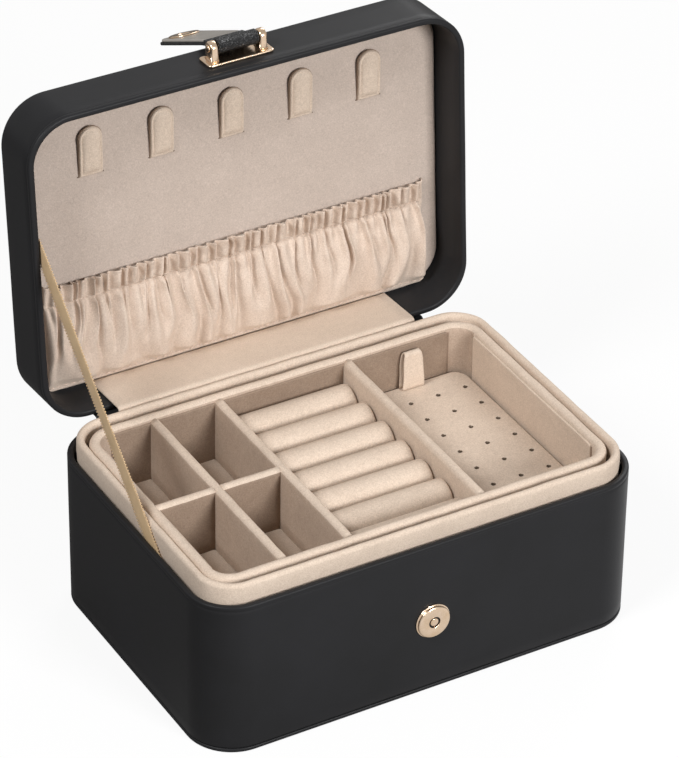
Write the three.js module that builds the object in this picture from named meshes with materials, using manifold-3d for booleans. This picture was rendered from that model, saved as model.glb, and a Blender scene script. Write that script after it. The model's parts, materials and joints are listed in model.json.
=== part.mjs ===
// A two-tier jewelry box with its lid open: a leather-covered base lined with velvet, a
// velvet tray that lifts out, and a shallow lid with a snap strap, necklace tabs and a pocket.
// Millimetres, +Z up, +X to the right and +Y to the back. The origin is the centre of the
// base's underside.
import * as THREE from 'three';
import { mergeVertices } from 'three/addons/utils/BufferGeometryUtils.js';
import Module from 'manifold-3d';

const wasm = await Module();
wasm.setup();

// Driving dimensions of the box
const boxWidth = 160;
const boxDepth = 110;
const rimHeight = 57;
const lidHeight = 21;
const cornerRadius = 16;
const wallThickness = 2.2;
const leatherEdge = 0.8;
const seatGap = 0.3;
const bottomThickness = 1.4;
const bottomEdge = 0.4;

// The velvet lining of the base and what stands in it
const linerGap = 1;
const linerThickness = 2.6;
const linerRise = 6;
const linerEdge = 1.2;
const floorPadThickness = 2.6;
const floorPadEdge = 0.8;
const ledgeFromEnd = 23.2;
const ledgeThickness = 3.6;
const ledgeRadius = 1.2;
const ledgeEdge = 0.6;

// The lid, its hinge behind the back wall, and how far it stands open
const lidTopThickness = 2.4;
const lidEdge = 1.4;
const panelThickness = 2.9;
const panelEdge = 0.7;
const hingeBehind = 2.4;
const openAngle = THREE.MathUtils.degToRad(94);

// The necklace tabs on the lid's panel
const tabCount = 5;
const tabFromSide = 26.1;
const tabWidth = 9;
const tabLength = 17.6;
const tabThickness = 1.9;
const tabEdge = 0.5;
const tabFromFront = 13.4;

// The gathered pocket on the lid's panel, with elastic in its top edge
const pocketFromSide = 8.5;
const pocketFromBack = 5;
const pocketHeight = 37.5;
const clothThickness = 0.8;
const pocketPuff = 4;
const pocketFolds = 15;
const foldHeight = 0.8;
const bandHeight = 6.4;
const elasticWidth = 4.4;
const elasticThickness = 0.7;

// The tray and its dividers
const traySideClearance = 0.6;
const trayEndClearance = 2.2;
const trayHeight = 30;
const trayRadius = 10;
const trayWall = 3.8;
const trayEdge = 1.6;
const trayBottomThickness = 2.4;
const trayBelowCollar = 0.5;
const trayFloorThickness = 1;
const dividerThickness = 3.6;
const dividerBelowRim = 0.8;
const smallColumnShare = 0.1447;
const rollsShare = 0.3216;

// The ring rolls and the earring pad
const rollCount = 7;
const rollBelowRim = 6.6;
const rollEdge = 1.2;
const padBelowRim = 17.5;
const padThickness = 3;
const railThickness = 3;
const holeColumns = 4;
const holeRows = 7;
const holeFromSide = 5.55;
const holeFromEnd = 11.1;
const holeRadius = 0.7;
const pullTabWidth = 8.4;
const pullTabHeight = 14;
const pullTabPly = 1;
const pullTabOpening = 1.1;

// The strap, its bracket on the lid and the snap on the base
const bracketWidth = 24;
const bracketHeight = 8;
const bracketRadius = 1.2;
const plateThickness = 1;
const plateEdge = 0.3;
const bracketShare = 0.44;
const earThickness = 2.6;
const earRadius = 2.5;
const pinRadius = 1;
const pinPlay = 0.3;
const strapWidth = 14.4;
const strapPastSnap = 6.6;
const leatherThickness = 1;
const liningThickness = 0.6;
const liningInset = 0.6;
const strapSag = 1.3;
const strapBend = 12;
const strapReturn = 9;
const strapTipRadius = 3;
const strapTilt = THREE.MathUtils.degToRad(22.5);
const snapHeight = 27.6;
const snapRadius = 6.2;
const snapThickness = 1.6;
const snapFlange = 0.5;
const snapStep = 0.4;
const snapBevel = 0.5;
const snapHoleRadius = 2;
const studRadius = 1.5;
const studHeight = 1.2;
const studEdge = 0.2;
const strapSnapRadius = 5.2;
const strapSnapThickness = 0.6;
const capRadius = 3.2;
const capThickness = 0.8;

// The leather spine and velvet strip of the hinge, and the ribbon that stops the lid
const spineFromSide = 18;
const spineThickness = 0.8;
const spineDrop = 14;
const spineReach = 12;
const spineBend = 2.6;
const stripFromSide = 24;
const stripThickness = 0.8;
const stripBend = 1.3;
const ribbonWidth = 7;
const ribbonThickness = 0.4;
const ribbonLidFromFront = 47;
const ribbonBaseFromFront = 44.7;
const ribbonInLid = 5;
const ribbonInBase = 9;

// How finely round edges and folds are divided
const cornerSteps = 3;
const edgeSteps = 2;
const roundSides = 20;
const holeSteps = 3;
const bendSteps = 5;
const foldSteps = 4;
const pocketRows = 7;

const LEATHER = { color: 0x262627, roughness: 0.45, metalness: 0 };
const VELVET = { color: 0xcbb9a8, roughness: 0.95, metalness: 0 };
const SATIN = { color: 0xcdb590, roughness: 0.4, metalness: 0 };
const ELASTIC = { color: 0xe6ded3, roughness: 0.8, metalness: 0 };
const GOLD = { color: 0xd9bd92, roughness: 0.25, metalness: 1 };
const STRAP_LINING = { color: 0xb9b4ae, roughness: 0.6, metalness: 0 };

function mesh(name, geometry, finish) {
  const piece = new THREE.Mesh(geometry, new THREE.MeshStandardMaterial(finish));
  piece.name = name;
  return piece;
}

function solid(geometry) {
  const bare = geometry.clone();
  bare.deleteAttribute('normal');
  bare.deleteAttribute('uv');
  const merged = mergeVertices(bare);
  return new wasm.Manifold(new wasm.Mesh({
    numProp: 3,
    vertProperties: new Float32Array(merged.attributes.position.array),
    triVerts: new Uint32Array(merged.index.array),
  }));
}

function surface(manifold) {
  const result = manifold.getMesh();
  const geometry = new THREE.BufferGeometry();
  const places = new THREE.BufferAttribute(new Float32Array(result.vertProperties), 3);
  geometry.setAttribute('position', places);
  geometry.setIndex(new THREE.BufferAttribute(new Uint32Array(result.triVerts), 1));
  geometry.computeVertexNormals();
  return geometry;
}

// A rectangle with round corners, about the origin
function roundedRectangle(width, depth, radius, Kind = THREE.Shape) {
  const x = width / 2;
  const y = depth / 2;
  const outline = new Kind();
  outline.moveTo(radius - x, -y);
  outline.lineTo(x - radius, -y);
  outline.absarc(x - radius, radius - y, radius, -Math.PI / 2, 0, false);
  outline.lineTo(x, y - radius);
  outline.absarc(x - radius, y - radius, radius, 0, Math.PI / 2, false);
  outline.lineTo(radius - x, y);
  outline.absarc(radius - x, y - radius, radius, Math.PI / 2, Math.PI, false);
  outline.lineTo(-x, radius - y);
  outline.absarc(radius - x, radius - y, radius, Math.PI, 1.5 * Math.PI, false);
  return outline;
}

function circle(x, y, radius) {
  const outline = new THREE.Path();
  outline.absarc(x, y, radius, 0, 2 * Math.PI, false);
  return outline;
}

// An outline raised to a height from z = 0, with its edges rounded inside that height
function raised(outline, height, edge = 0, steps = edgeSteps, curveSegments = cornerSteps) {
  const geometry = new THREE.ExtrudeGeometry(outline, {
    depth: height - 2 * edge,
    curveSegments,
    bevelEnabled: edge > 0,
    bevelThickness: edge,
    bevelSize: edge,
    bevelOffset: -edge,
    bevelSegments: steps,
  });
  return geometry.translate(0, 0, edge);
}

function slab(width, depth, radius, height, edge, steps = edgeSteps) {
  return raised(roundedRectangle(width, depth, radius), height, edge, steps);
}

// A wall that runs round a rectangle with round corners, open above and below
function wall(width, depth, radius, thickness, height, edge, steps = edgeSteps) {
  const outline = roundedRectangle(width, depth, radius);
  const inside = 2 * thickness;
  outline.holes.push(
    roundedRectangle(width - inside, depth - inside, radius - thickness, THREE.Path));
  return raised(outline, height, edge, steps);
}

// An outline drawn in the YZ plane, as wide as asked along X about the middle
function acrossX(outline, width, edge = 0, curveSegments = cornerSteps) {
  const turn = new THREE.Matrix4().makeBasis(
    new THREE.Vector3(0, 1, 0), new THREE.Vector3(0, 0, 1), new THREE.Vector3(1, 0, 0));
  const geometry = raised(outline, width, edge, 1, curveSegments);
  return geometry.translate(0, 0, -width / 2).applyMatrix4(turn);
}

// An outline drawn in the XZ plane, as deep as asked along Y about the middle
function alongY(outline, depth, edge = 0) {
  return raised(outline, depth, edge, 1).translate(0, 0, -depth / 2).rotateX(Math.PI / 2);
}

// The section of a board or roll that stands on z = 0 and has a round top
function roundTopped(thickness, height) {
  const radius = thickness / 2;
  const outline = new THREE.Shape();
  outline.moveTo(-radius, 0);
  outline.lineTo(radius, 0);
  outline.lineTo(radius, height - radius);
  outline.absarc(0, height - radius, radius, 0, Math.PI, false);
  return outline;
}

// A strip's outline from its middle line, whose points are [y, z]
function strip(points, thickness) {
  const sides = [[], []];
  points.forEach((point, i) => {
    const before = points[Math.max(i - 1, 0)];
    const after = points[Math.min(i + 1, points.length - 1)];
    const along = new THREE.Vector2(after[0] - before[0], after[1] - before[1]).normalize();
    const half = thickness / 2;
    sides[0].push(new THREE.Vector2(point[0] - half * along.y, point[1] + half * along.x));
    sides[1].unshift(new THREE.Vector2(point[0] + half * along.y, point[1] - half * along.x));
  });
  return new THREE.Shape([...sides[0], ...sides[1]]);
}

// A round piece that stands out from a wall towards -Y; its profile is [radius, height]
function turned(profile) {
  const points = profile.map(([radius, height]) => new THREE.Vector2(radius, height));
  return new THREE.LatheGeometry(points, roundSides).rotateZ(Math.PI);
}

// Sizes and places that follow from the driving dimensions
const halfWidth = boxWidth / 2;
const halfDepth = boxDepth / 2;
const linerInset = wallThickness + linerGap;
const linerWidth = boxWidth - 2 * linerInset;
const linerDepth = boxDepth - 2 * linerInset;
const linerRadius = cornerRadius - linerInset;
const linerTop = rimHeight + linerRise;
const insideWidth = linerWidth - 2 * linerThickness;
const insideDepth = linerDepth - 2 * linerThickness;
const insideRadius = linerRadius - linerThickness;
const wallFoot = bottomThickness + seatGap;
const floorTop = wallFoot + floorPadThickness;

const lidRim = rimHeight + seatGap;
const hingeY = halfDepth + hingeBehind;
const hingeZ = lidRim - seatGap / 2;
const panelFace = lidRim + lidHeight - lidTopThickness - seatGap - panelThickness;
const panelInset = wallThickness + seatGap;
const panelWidth = boxWidth - 2 * panelInset;
const panelDepth = boxDepth - 2 * panelInset;
const panelRadius = cornerRadius - panelInset;

const tabPitch = (panelWidth - 2 * tabFromSide) / (tabCount - 1);

const trayWidth = insideWidth - 2 * traySideClearance;
const trayDepth = insideDepth - 2 * trayEndClearance;
const trayInsideWidth = trayWidth - 2 * trayWall;
const trayInsideDepth = trayDepth - 2 * trayWall;
const trayInsideRadius = trayRadius - trayWall;
const trayRest = linerTop - trayBelowCollar - trayHeight;
const trayWallFoot = trayBottomThickness + seatGap;
const trayFloor = trayWallFoot + trayFloorThickness;
const standFoot = trayFloor + seatGap;
const dividerHeight = trayHeight - dividerBelowRim - standFoot;
const smallColumnWidth = smallColumnShare * trayInsideWidth;
const rollsWidth = rollsShare * trayInsideWidth;
const divider1X = smallColumnWidth + dividerThickness / 2 - trayInsideWidth / 2;
const divider2X = divider1X + dividerThickness + smallColumnWidth;
const divider3X = divider2X + dividerThickness + rollsWidth;
const padLeft = divider3X + dividerThickness / 2 + seatGap;
const padRight = trayInsideWidth / 2 - seatGap;
const padX = (padLeft + padRight) / 2;
const padWidth = padRight - padLeft;
const padDepth = trayInsideDepth - 2 * seatGap;
const holePitchX = (padWidth - 2 * holeFromSide) / (holeColumns - 1);
const holePitchY = (padDepth - 2 * holeFromEnd) / (holeRows - 1);
const padBottom = trayHeight - padBelowRim - padThickness;

const snapFace = seatGap + snapThickness;
const pinFromWall = snapFace + seatGap + strapSnapThickness + seatGap + liningThickness
  + seatGap + strapSag;
const pinY = -halfDepth - pinFromWall;
const pinZ = lidRim + bracketShare * lidHeight;
const snapAlongStrap = pinZ - snapHeight;
const strapLength = snapAlongStrap + strapPastSnap;
const earGap = strapWidth + 2 * seatGap;

// Where a point of the closed lid lies, as [y, z], once the lid is open
function opened(y, z) {
  const place = new THREE.Vector2(y, z);
  return place.rotateAround(new THREE.Vector2(hingeY, hingeZ), -openAngle).toArray();
}

function baseShell() {
  const wallHeight = rimHeight - wallFoot;
  const shell = wall(
    boxWidth, boxDepth, cornerRadius, wallThickness, wallHeight, leatherEdge);
  return mesh('base_shell', shell.translate(0, 0, wallFoot), LEATHER);
}

function baseBottomBoard() {
  const board = slab(boxWidth, boxDepth, cornerRadius, bottomThickness, bottomEdge, 1);
  return mesh('base_bottom_board', board, LEATHER);
}

function baseLiner() {
  const height = linerTop - wallFoot;
  const liner = wall(linerWidth, linerDepth, linerRadius, linerThickness, height, linerEdge);
  return mesh('base_liner', liner.translate(0, 0, wallFoot), VELVET);
}

function baseFloorPad() {
  const pad = slab(insideWidth - 2 * seatGap, insideDepth - 2 * seatGap,
    insideRadius - seatGap, floorPadThickness, floorPadEdge);
  return mesh('base_floor_pad', pad.translate(0, 0, wallFoot), VELVET);
}

// The boards along the side walls that carry the tray
function trayLedge(name, side) {
  const length = insideDepth - 2 * ledgeFromEnd;
  const height = trayRest - seatGap - floorTop - seatGap;
  const board = slab(ledgeThickness, length, ledgeRadius, height, ledgeEdge, 1);
  const x = side * (insideWidth / 2 - seatGap - ledgeThickness / 2);
  return mesh(name, board.translate(x, 0, floorTop + seatGap), VELVET);
}

// The snap's disc stands on a flange and has a stud in its middle hole
function snapDisc() {
  const neck = snapRadius - snapStep;
  const profile = [
    [snapHoleRadius, 0], [snapRadius, 0], [snapRadius, snapFlange],
    [neck, snapFlange], [neck, snapThickness - snapBevel],
    [neck - snapBevel, snapThickness], [snapHoleRadius, snapThickness], [snapHoleRadius, 0],
  ];
  return mesh('snap_disc', placeOnFront(turned(profile)), GOLD);
}

function snapStud() {
  const profile = [
    [0, 0], [studRadius, 0], [studRadius, studHeight - studEdge],
    [studRadius - studEdge, studHeight], [0, studHeight],
  ];
  return mesh('snap_stud', placeOnFront(turned(profile)), GOLD);
}

function placeOnFront(geometry) {
  return geometry.translate(0, -halfDepth - seatGap, snapHeight);
}

// A quarter bend from going up, at [y, z], to going back along a slope
function bend(y, z, radius, slope) {
  const points = [];
  for (let i = 0; i <= bendSteps; i += 1) {
    const turn = (i / bendSteps) * (Math.PI / 2 + slope);
    points.push([y + radius * (1 - Math.cos(turn)), z + radius * Math.sin(turn)]);
  }
  return points;
}

// The leather over the hinge: up the back of the base, then under the open lid's back wall
function hingeSpine() {
  const middle = seatGap + spineThickness / 2;
  const y = halfDepth + middle;
  const slope = openAngle - Math.PI / 2;
  const end = opened(halfDepth + middle, lidRim + spineReach);
  const start = opened(halfDepth + middle, lidRim);
  const under = start[1] - (y + spineBend - start[0]) * Math.tan(slope);
  const points = [
    [y, rimHeight - spineDrop],
    ...bend(y, under - spineBend, spineBend, slope),
    end,
  ];
  const width = boxWidth - 2 * spineFromSide;
  return mesh('hinge_spine', acrossX(strip(points, spineThickness), width), LEATHER);
}

// The velvet over the hinge: up behind the collar, then along the open lid's back wall
function hingeLining() {
  const middle = seatGap + stripThickness / 2;
  const y = linerDepth / 2 + middle;
  const slope = openAngle - Math.PI / 2;
  const innerFace = halfDepth - wallThickness;
  const start = opened(innerFace - middle, lidRim);
  const end = opened(innerFace - middle, panelFace - seatGap);
  const top = start[1] - (y + stripBend - start[0]) * Math.tan(slope);
  const points = [
    [y, rimHeight + seatGap],
    ...bend(y, top - stripBend, stripBend, slope),
    end,
  ];
  const width = boxWidth - 2 * stripFromSide;
  return mesh('hinge_lining', acrossX(strip(points, stripThickness), width), VELVET);
}

// The ribbon runs straight from inside the lid's left wall to behind the collar
function ribbonStay() {
  const low = new THREE.Vector2(ribbonBaseFromFront - halfDepth, rimHeight);
  const high = new THREE.Vector2(...opened(ribbonLidFromFront - halfDepth, lidRim));
  const along = high.clone().sub(low).normalize();
  low.addScaledVector(along, -ribbonInBase);
  high.addScaledVector(along, ribbonInLid);
  const middle = low.clone().add(high).divideScalar(2);
  const length = low.distanceTo(high);
  const ribbon = mesh('ribbon_stay',
    new THREE.BoxGeometry(ribbonThickness, length, ribbonWidth), SATIN);
  const x = halfWidth - wallThickness - linerGap / 2;
  ribbon.position.set(-x, middle.x, middle.y);
  ribbon.rotation.x = along.angle();
  return ribbon;
}

function buildBase() {
  const base = new THREE.Group();
  base.add(
    baseShell(), baseBottomBoard(), baseLiner(), baseFloorPad(),
    trayLedge('tray_ledge_left', -1), trayLedge('tray_ledge_right', 1),
    snapDisc(), snapStud(), hingeSpine(), hingeLining(), ribbonStay());
  return base;
}

// The lid's pieces are drawn closed, as [x, y, z] of the shut box
function lidShell() {
  const outer = slab(boxWidth, boxDepth, cornerRadius, lidHeight, lidEdge);
  const inside = 2 * wallThickness;
  const room = slab(boxWidth - inside, boxDepth - inside, cornerRadius - wallThickness,
    lidHeight, panelEdge, 1);
  const shell = solid(outer).subtract(solid(room.translate(0, 0, -lidTopThickness)));
  return mesh('lid_shell', surface(shell).translate(0, 0, lidRim), LEATHER);
}

function lidPanel() {
  const panel = slab(panelWidth, panelDepth, panelRadius, panelThickness, panelEdge);
  return mesh('lid_panel', panel.translate(0, 0, panelFace), VELVET);
}

// A tab has a round end towards the front and is sewn down at its straight end
function necklaceTab(index) {
  const half = tabWidth / 2;
  const outline = new THREE.Shape();
  outline.moveTo(half, tabLength);
  outline.lineTo(-half, tabLength);
  outline.lineTo(-half, half);
  outline.absarc(0, half, half, Math.PI, 2 * Math.PI, false);
  const tab = raised(outline, tabThickness, tabEdge, 1);
  const x = (index - (tabCount - 1) / 2) * tabPitch;
  const z = panelFace - seatGap - tabThickness;
  tab.translate(x, tabFromFront - halfDepth, z);
  return mesh(`necklace_tab_${index + 1}`, tab, VELVET);
}

// The pocket's cloth puffs out from the panel in folds that run down from its gathered edge
function lidPocket() {
  const width = boxWidth - 2 * pocketFromSide;
  const columns = pocketFolds * foldSteps;
  const cloth = new THREE.BoxGeometry(
    width, pocketHeight, clothThickness, columns, pocketRows, 1);
  const places = cloth.attributes.position;
  const elasticRoom = seatGap + elasticThickness + seatGap;
  for (let i = 0; i < places.count; i += 1) {
    const across = places.getX(i) / width;
    const up = 0.5 - places.getY(i) / pocketHeight;
    const sides = 1 - (2 * across) ** 4;
    const inBand = THREE.MathUtils.smoothstep(up, 1 - 1.5 * bandHeight / pocketHeight, 1);
    const fold = foldHeight * (1 + Math.cos(2 * Math.PI * pocketFolds * across));
    const puff = pocketPuff * Math.sin(Math.PI * Math.min(up, 1)) ** 0.7 * sides;
    const out = THREE.MathUtils.lerp(puff, elasticRoom, inBand) + fold * up * sides;
    places.setZ(i, places.getZ(i) - out);
  }
  cloth.translate(0, halfDepth - pocketFromBack - pocketHeight / 2,
    panelFace - seatGap - clothThickness / 2);
  return mesh('lid_pocket', cloth, VELVET);
}

function pocketElastic() {
  const width = boxWidth - 2 * pocketFromSide - 2 * elasticWidth;
  const band = new THREE.BoxGeometry(width, elasticWidth, elasticThickness);
  const y = halfDepth - pocketFromBack - pocketHeight + bandHeight / 2;
  const z = panelFace - seatGap - elasticThickness / 2;
  return mesh('pocket_elastic', band.translate(0, y, z), ELASTIC);
}

// A plate on the lid's front wall, with two ears that hold the strap's pin
function strapBracket() {
  const plate = slab(
    bracketWidth, bracketHeight, bracketRadius, plateThickness, plateEdge, 1);
  plate.rotateX(Math.PI / 2).translate(0, -halfDepth - seatGap, pinZ);
  let bracket = solid(plate);
  for (const side of [-1, 1]) {
    const ear = new THREE.Shape();
    const foot = -halfDepth - seatGap - plateThickness / 2;
    ear.moveTo(foot, pinZ - earRadius);
    ear.lineTo(pinY, pinZ - earRadius);
    ear.absarc(pinY, pinZ, earRadius, -Math.PI / 2, Math.PI / 2, true);
    ear.lineTo(foot, pinZ + earRadius);
    ear.holes.push(circle(pinY, pinZ, pinRadius + pinPlay));
    const x = side * (earGap + earThickness) / 2;
    bracket = bracket.add(solid(acrossX(ear, earThickness).translate(x, 0, 0)));
  }
  return mesh('strap_bracket', surface(bracket), GOLD);
}

function strapPin() {
  const length = earGap + 2 * earThickness;
  const pin = new THREE.CylinderGeometry(pinRadius, pinRadius, length, roundSides / 2);
  return mesh('strap_pin', pin.rotateZ(Math.PI / 2).translate(0, pinY, pinZ), GOLD);
}

// The strap's pieces are drawn from the pin, along Z, with their outer face towards +Y.
// Its middle line draws in from the pin to the tail.
function strapLine(from, to, offset) {
  const points = [];
  for (let i = 0; i <= bendSteps; i += 1) {
    const along = THREE.MathUtils.lerp(from, to, i / bendSteps);
    const drawnIn = strapSag * THREE.MathUtils.smoothstep(along, 0, strapBend);
    points.push(new THREE.Vector2(offset - drawnIn, along));
  }
  return points;
}

// The plan of the strap, with its corners rounded at the tail
function strapPlan(geometry, width, from, to) {
  const length = 2 * (to - from);
  const plan = alongY(roundedRectangle(width, length, strapTipRadius), strapLength);
  return surface(solid(geometry).intersect(solid(plan.translate(0, 0, from))));
}

function strapLeather() {
  const around = pinRadius + pinPlay + leatherThickness;
  const rise = 2 * around;
  const tail = strapLength;
  const points = [
    ...strapLine(strapBend, tail, leatherThickness).reverse(),
    ...strapLine(rise, strapBend, leatherThickness).reverse().slice(1),
  ];
  const outline = new THREE.Shape(points);
  outline.absarc(0, 0, around, Math.PI / 6, 5 * Math.PI / 6, true);
  strapLine(rise, strapReturn, -leatherThickness)
    .forEach((point) => outline.lineTo(point.x, point.y));
  strapLine(strapReturn, tail, 0).forEach((point) => outline.lineTo(point.x, point.y));
  outline.holes.push(circle(0, 0, pinRadius + pinPlay));
  const leather = strapPlan(acrossX(outline, strapWidth), strapWidth, -rise, tail);
  return mesh('strap_leather', leather, LEATHER);
}

function strapLining() {
  const from = strapReturn + seatGap;
  const to = strapLength - liningInset;
  const outline = new THREE.Shape([
    ...strapLine(from, to, -seatGap),
    ...strapLine(from, to, -seatGap - liningThickness).reverse(),
  ]);
  const width = strapWidth - 2 * liningInset;
  const lining = strapPlan(acrossX(outline, width), width, from - strapTipRadius, to);
  return mesh('strap_lining', lining, STRAP_LINING);
}

function strapSnap() {
  const profile = [
    [0, 0], [strapSnapRadius, 0], [strapSnapRadius, strapSnapThickness / 2],
    [strapSnapRadius - strapSnapThickness / 2, strapSnapThickness],
    [snapHoleRadius, strapSnapThickness], [0, strapSnapThickness / 2],
  ];
  const y = -strapSag - 2 * seatGap - liningThickness;
  return mesh('strap_snap', turned(profile).translate(0, y, snapAlongStrap), GOLD);
}

function strapCap() {
  const profile = [
    [0, 0], [capRadius, 0], [capRadius, capThickness / 2],
    [capRadius / 2, capThickness], [0, capThickness],
  ];
  const cap = turned(profile).rotateZ(Math.PI);
  const y = leatherThickness - strapSag + seatGap;
  return mesh('strap_cap', cap.translate(0, y, snapAlongStrap), GOLD);
}

function buildStrap() {
  const strap = new THREE.Group();
  strap.add(strapLeather(), strapLining(), strapSnap(), strapCap());
  strap.position.set(0, pinY - hingeY, pinZ - hingeZ);
  strap.rotation.x = -strapTilt;
  return strap;
}

function buildLid() {
  const closed = new THREE.Group();
  closed.add(lidShell(), lidPanel());
  for (let i = 0; i < tabCount; i += 1) {
    closed.add(necklaceTab(i));
  }
  closed.add(lidPocket(), pocketElastic(), strapBracket(), strapPin());
  closed.position.set(0, -hingeY, -hingeZ);
  const lid = new THREE.Group();
  lid.add(closed, buildStrap());
  lid.position.set(0, hingeY, hingeZ);
  lid.rotation.x = -openAngle;
  return lid;
}

function longDivider(name, x) {
  const board = alongY(
    roundTopped(dividerThickness, dividerHeight), trayInsideDepth - 2 * seatGap);
  return mesh(name, board.translate(x, 0, standFoot), VELVET);
}

function crossDivider(name, x) {
  const board = acrossX(
    roundTopped(dividerThickness, dividerHeight), smallColumnWidth - 2 * seatGap);
  return mesh(name, board.translate(x, 0, standFoot), VELVET);
}

function ringRoll(index) {
  const pitch = trayInsideDepth / rollCount;
  const height = trayHeight - rollBelowRim - standFoot;
  const roll = acrossX(
    roundTopped(pitch - seatGap, height), rollsWidth - 2 * seatGap, rollEdge);
  const x = (divider2X + divider3X) / 2;
  const y = ((rollCount - 1) / 2 - index) * pitch;
  return mesh(`ring_roll_${index + 1}`, roll.translate(x, y, standFoot), VELVET);
}

// A rail under the pad's front or back edge
function padRail(name, side) {
  const height = padBottom - seatGap - standFoot;
  const width = padWidth - 2 * trayInsideRadius;
  const rail = slab(width, railThickness, ledgeRadius, height, 0);
  const y = side * (trayInsideDepth - railThickness - 2 * seatGap) / 2;
  return mesh(name, rail.translate(padX, y, standFoot), VELVET);
}

function buildTray() {
  const tray = new THREE.Group();
  const walls = wall(trayWidth, trayDepth, trayRadius, trayWall,
    trayHeight - trayWallFoot, trayEdge);
  const bottom = slab(
    trayWidth, trayDepth, trayRadius, trayBottomThickness, bottomEdge, 1);
  const floor = slab(trayInsideWidth - 2 * seatGap, trayInsideDepth - 2 * seatGap,
    trayInsideRadius - seatGap, trayFloorThickness, 0);
  tray.add(
    mesh('tray_walls', walls.translate(0, 0, trayWallFoot), VELVET),
    mesh('tray_bottom_board', bottom, VELVET),
    mesh('tray_floor_lining', floor.translate(0, 0, trayWallFoot), VELVET),
    longDivider('long_divider_1', divider1X),
    longDivider('long_divider_2', divider2X),
    longDivider('long_divider_3', divider3X),
    crossDivider('cross_divider_left', divider1X - (dividerThickness + smallColumnWidth) / 2),
    crossDivider('cross_divider_right', (divider1X + divider2X) / 2));
  for (let i = 0; i < rollCount; i += 1) {
    tray.add(ringRoll(i));
  }
  tray.add(padRail('pad_rail_front', -1), padRail('pad_rail_back', 1), buildPad());
  tray.position.z = trayRest;
  return tray;
}

function earringPad() {
  const outline = roundedRectangle(padWidth, padDepth, trayInsideRadius - seatGap);
  for (let column = 0; column < holeColumns; column += 1) {
    for (let row = 0; row < holeRows; row += 1) {
      const x = (column - (holeColumns - 1) / 2) * holePitchX;
      const y = (row - (holeRows - 1) / 2) * holePitchY;
      outline.holes.push(circle(x, y, holeRadius));
    }
  }
  const pad = raised(outline, padThickness, 0, 0, holeSteps);
  return mesh('earring_pad', pad.translate(padX, 0, 0), VELVET);
}

// A folded loop that stands at the pad's back edge
function pullTab() {
  const half = pullTabOpening / 2;
  const outside = half + pullTabPly;
  const springing = pullTabHeight - outside;
  const outline = new THREE.Shape();
  outline.moveTo(outside, 0);
  outline.lineTo(outside, springing);
  outline.absarc(0, springing, outside, 0, Math.PI, false);
  outline.lineTo(-outside, 0);
  outline.lineTo(-half, 0);
  outline.lineTo(-half, springing);
  outline.absarc(0, springing, half, Math.PI, 0, true);
  outline.lineTo(half, 0);
  const loop = acrossX(outline, pullTabWidth);
  const y = padDepth / 2 - outside - pullTabPly;
  return mesh('pull_tab', loop.translate(padX, y, padThickness + seatGap), VELVET);
}

function buildPad() {
  const pad = new THREE.Group();
  pad.add(earringPad(), pullTab());
  pad.position.z = padBottom;
  return pad;
}

const jewelryBox = new THREE.Group();
jewelryBox.add(buildBase(), buildTray(), buildLid());

export default jewelryBox;
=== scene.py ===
# %% [markdown]
# # A two-tier jewelry box, dressed in Blender
# The solids of the box are finished elsewhere, and they load here as a fixed frame: a base, a
# lid, a strap, a tray and an earring pad. This lesson gives each of them the surface that the
# real one has, which is black coated leather outside and beige velvet inside, with pale gold
# metal. Everything is in metres, in the frame's own place, so nothing is ever fitted by eye. The
# noise that makes soft surfaces uneven would take its seed from the clock, so it gets a fixed
# one, and every run makes the same box.

# %% Load the frame
import json
import math

import bpy
import numpy as np
from mathutils import Matrix, Vector, noise


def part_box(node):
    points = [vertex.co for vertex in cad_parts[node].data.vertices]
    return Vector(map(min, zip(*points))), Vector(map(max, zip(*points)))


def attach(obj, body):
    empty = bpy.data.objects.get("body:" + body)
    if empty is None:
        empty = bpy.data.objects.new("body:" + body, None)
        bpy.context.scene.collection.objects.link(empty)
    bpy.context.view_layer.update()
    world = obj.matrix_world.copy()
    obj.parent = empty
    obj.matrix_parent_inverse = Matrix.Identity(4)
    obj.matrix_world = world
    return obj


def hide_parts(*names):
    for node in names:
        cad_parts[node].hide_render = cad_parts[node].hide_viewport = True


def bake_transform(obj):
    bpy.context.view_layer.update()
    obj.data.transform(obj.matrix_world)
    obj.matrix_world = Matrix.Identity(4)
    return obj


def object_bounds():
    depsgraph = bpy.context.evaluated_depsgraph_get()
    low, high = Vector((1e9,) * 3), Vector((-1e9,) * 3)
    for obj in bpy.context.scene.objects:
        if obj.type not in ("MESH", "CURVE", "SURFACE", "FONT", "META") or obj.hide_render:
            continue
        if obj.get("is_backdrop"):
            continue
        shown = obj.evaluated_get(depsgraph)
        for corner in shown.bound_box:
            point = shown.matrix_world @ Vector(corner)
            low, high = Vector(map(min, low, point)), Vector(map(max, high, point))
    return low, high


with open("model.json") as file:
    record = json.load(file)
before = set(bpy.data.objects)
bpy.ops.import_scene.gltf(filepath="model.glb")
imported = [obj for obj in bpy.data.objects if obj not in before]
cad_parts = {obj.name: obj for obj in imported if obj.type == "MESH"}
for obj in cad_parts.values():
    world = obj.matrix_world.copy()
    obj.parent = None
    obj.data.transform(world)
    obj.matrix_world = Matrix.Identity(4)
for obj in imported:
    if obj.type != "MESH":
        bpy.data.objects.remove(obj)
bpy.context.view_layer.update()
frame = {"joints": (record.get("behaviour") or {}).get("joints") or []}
MM = 0.001
NOISE_SEED = 5
joints = {joint["name"]: joint for joint in frame["joints"]}
noise.seed_set(NOISE_SEED)

# %% [markdown]
# ## Where the camera stands
# A product picture of a small box is taken from far off with a long lens, so that its edges
# stay nearly parallel. The camera looks along a direction that is given by its turn to the
# right, its tilt downwards and a very small roll.

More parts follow.
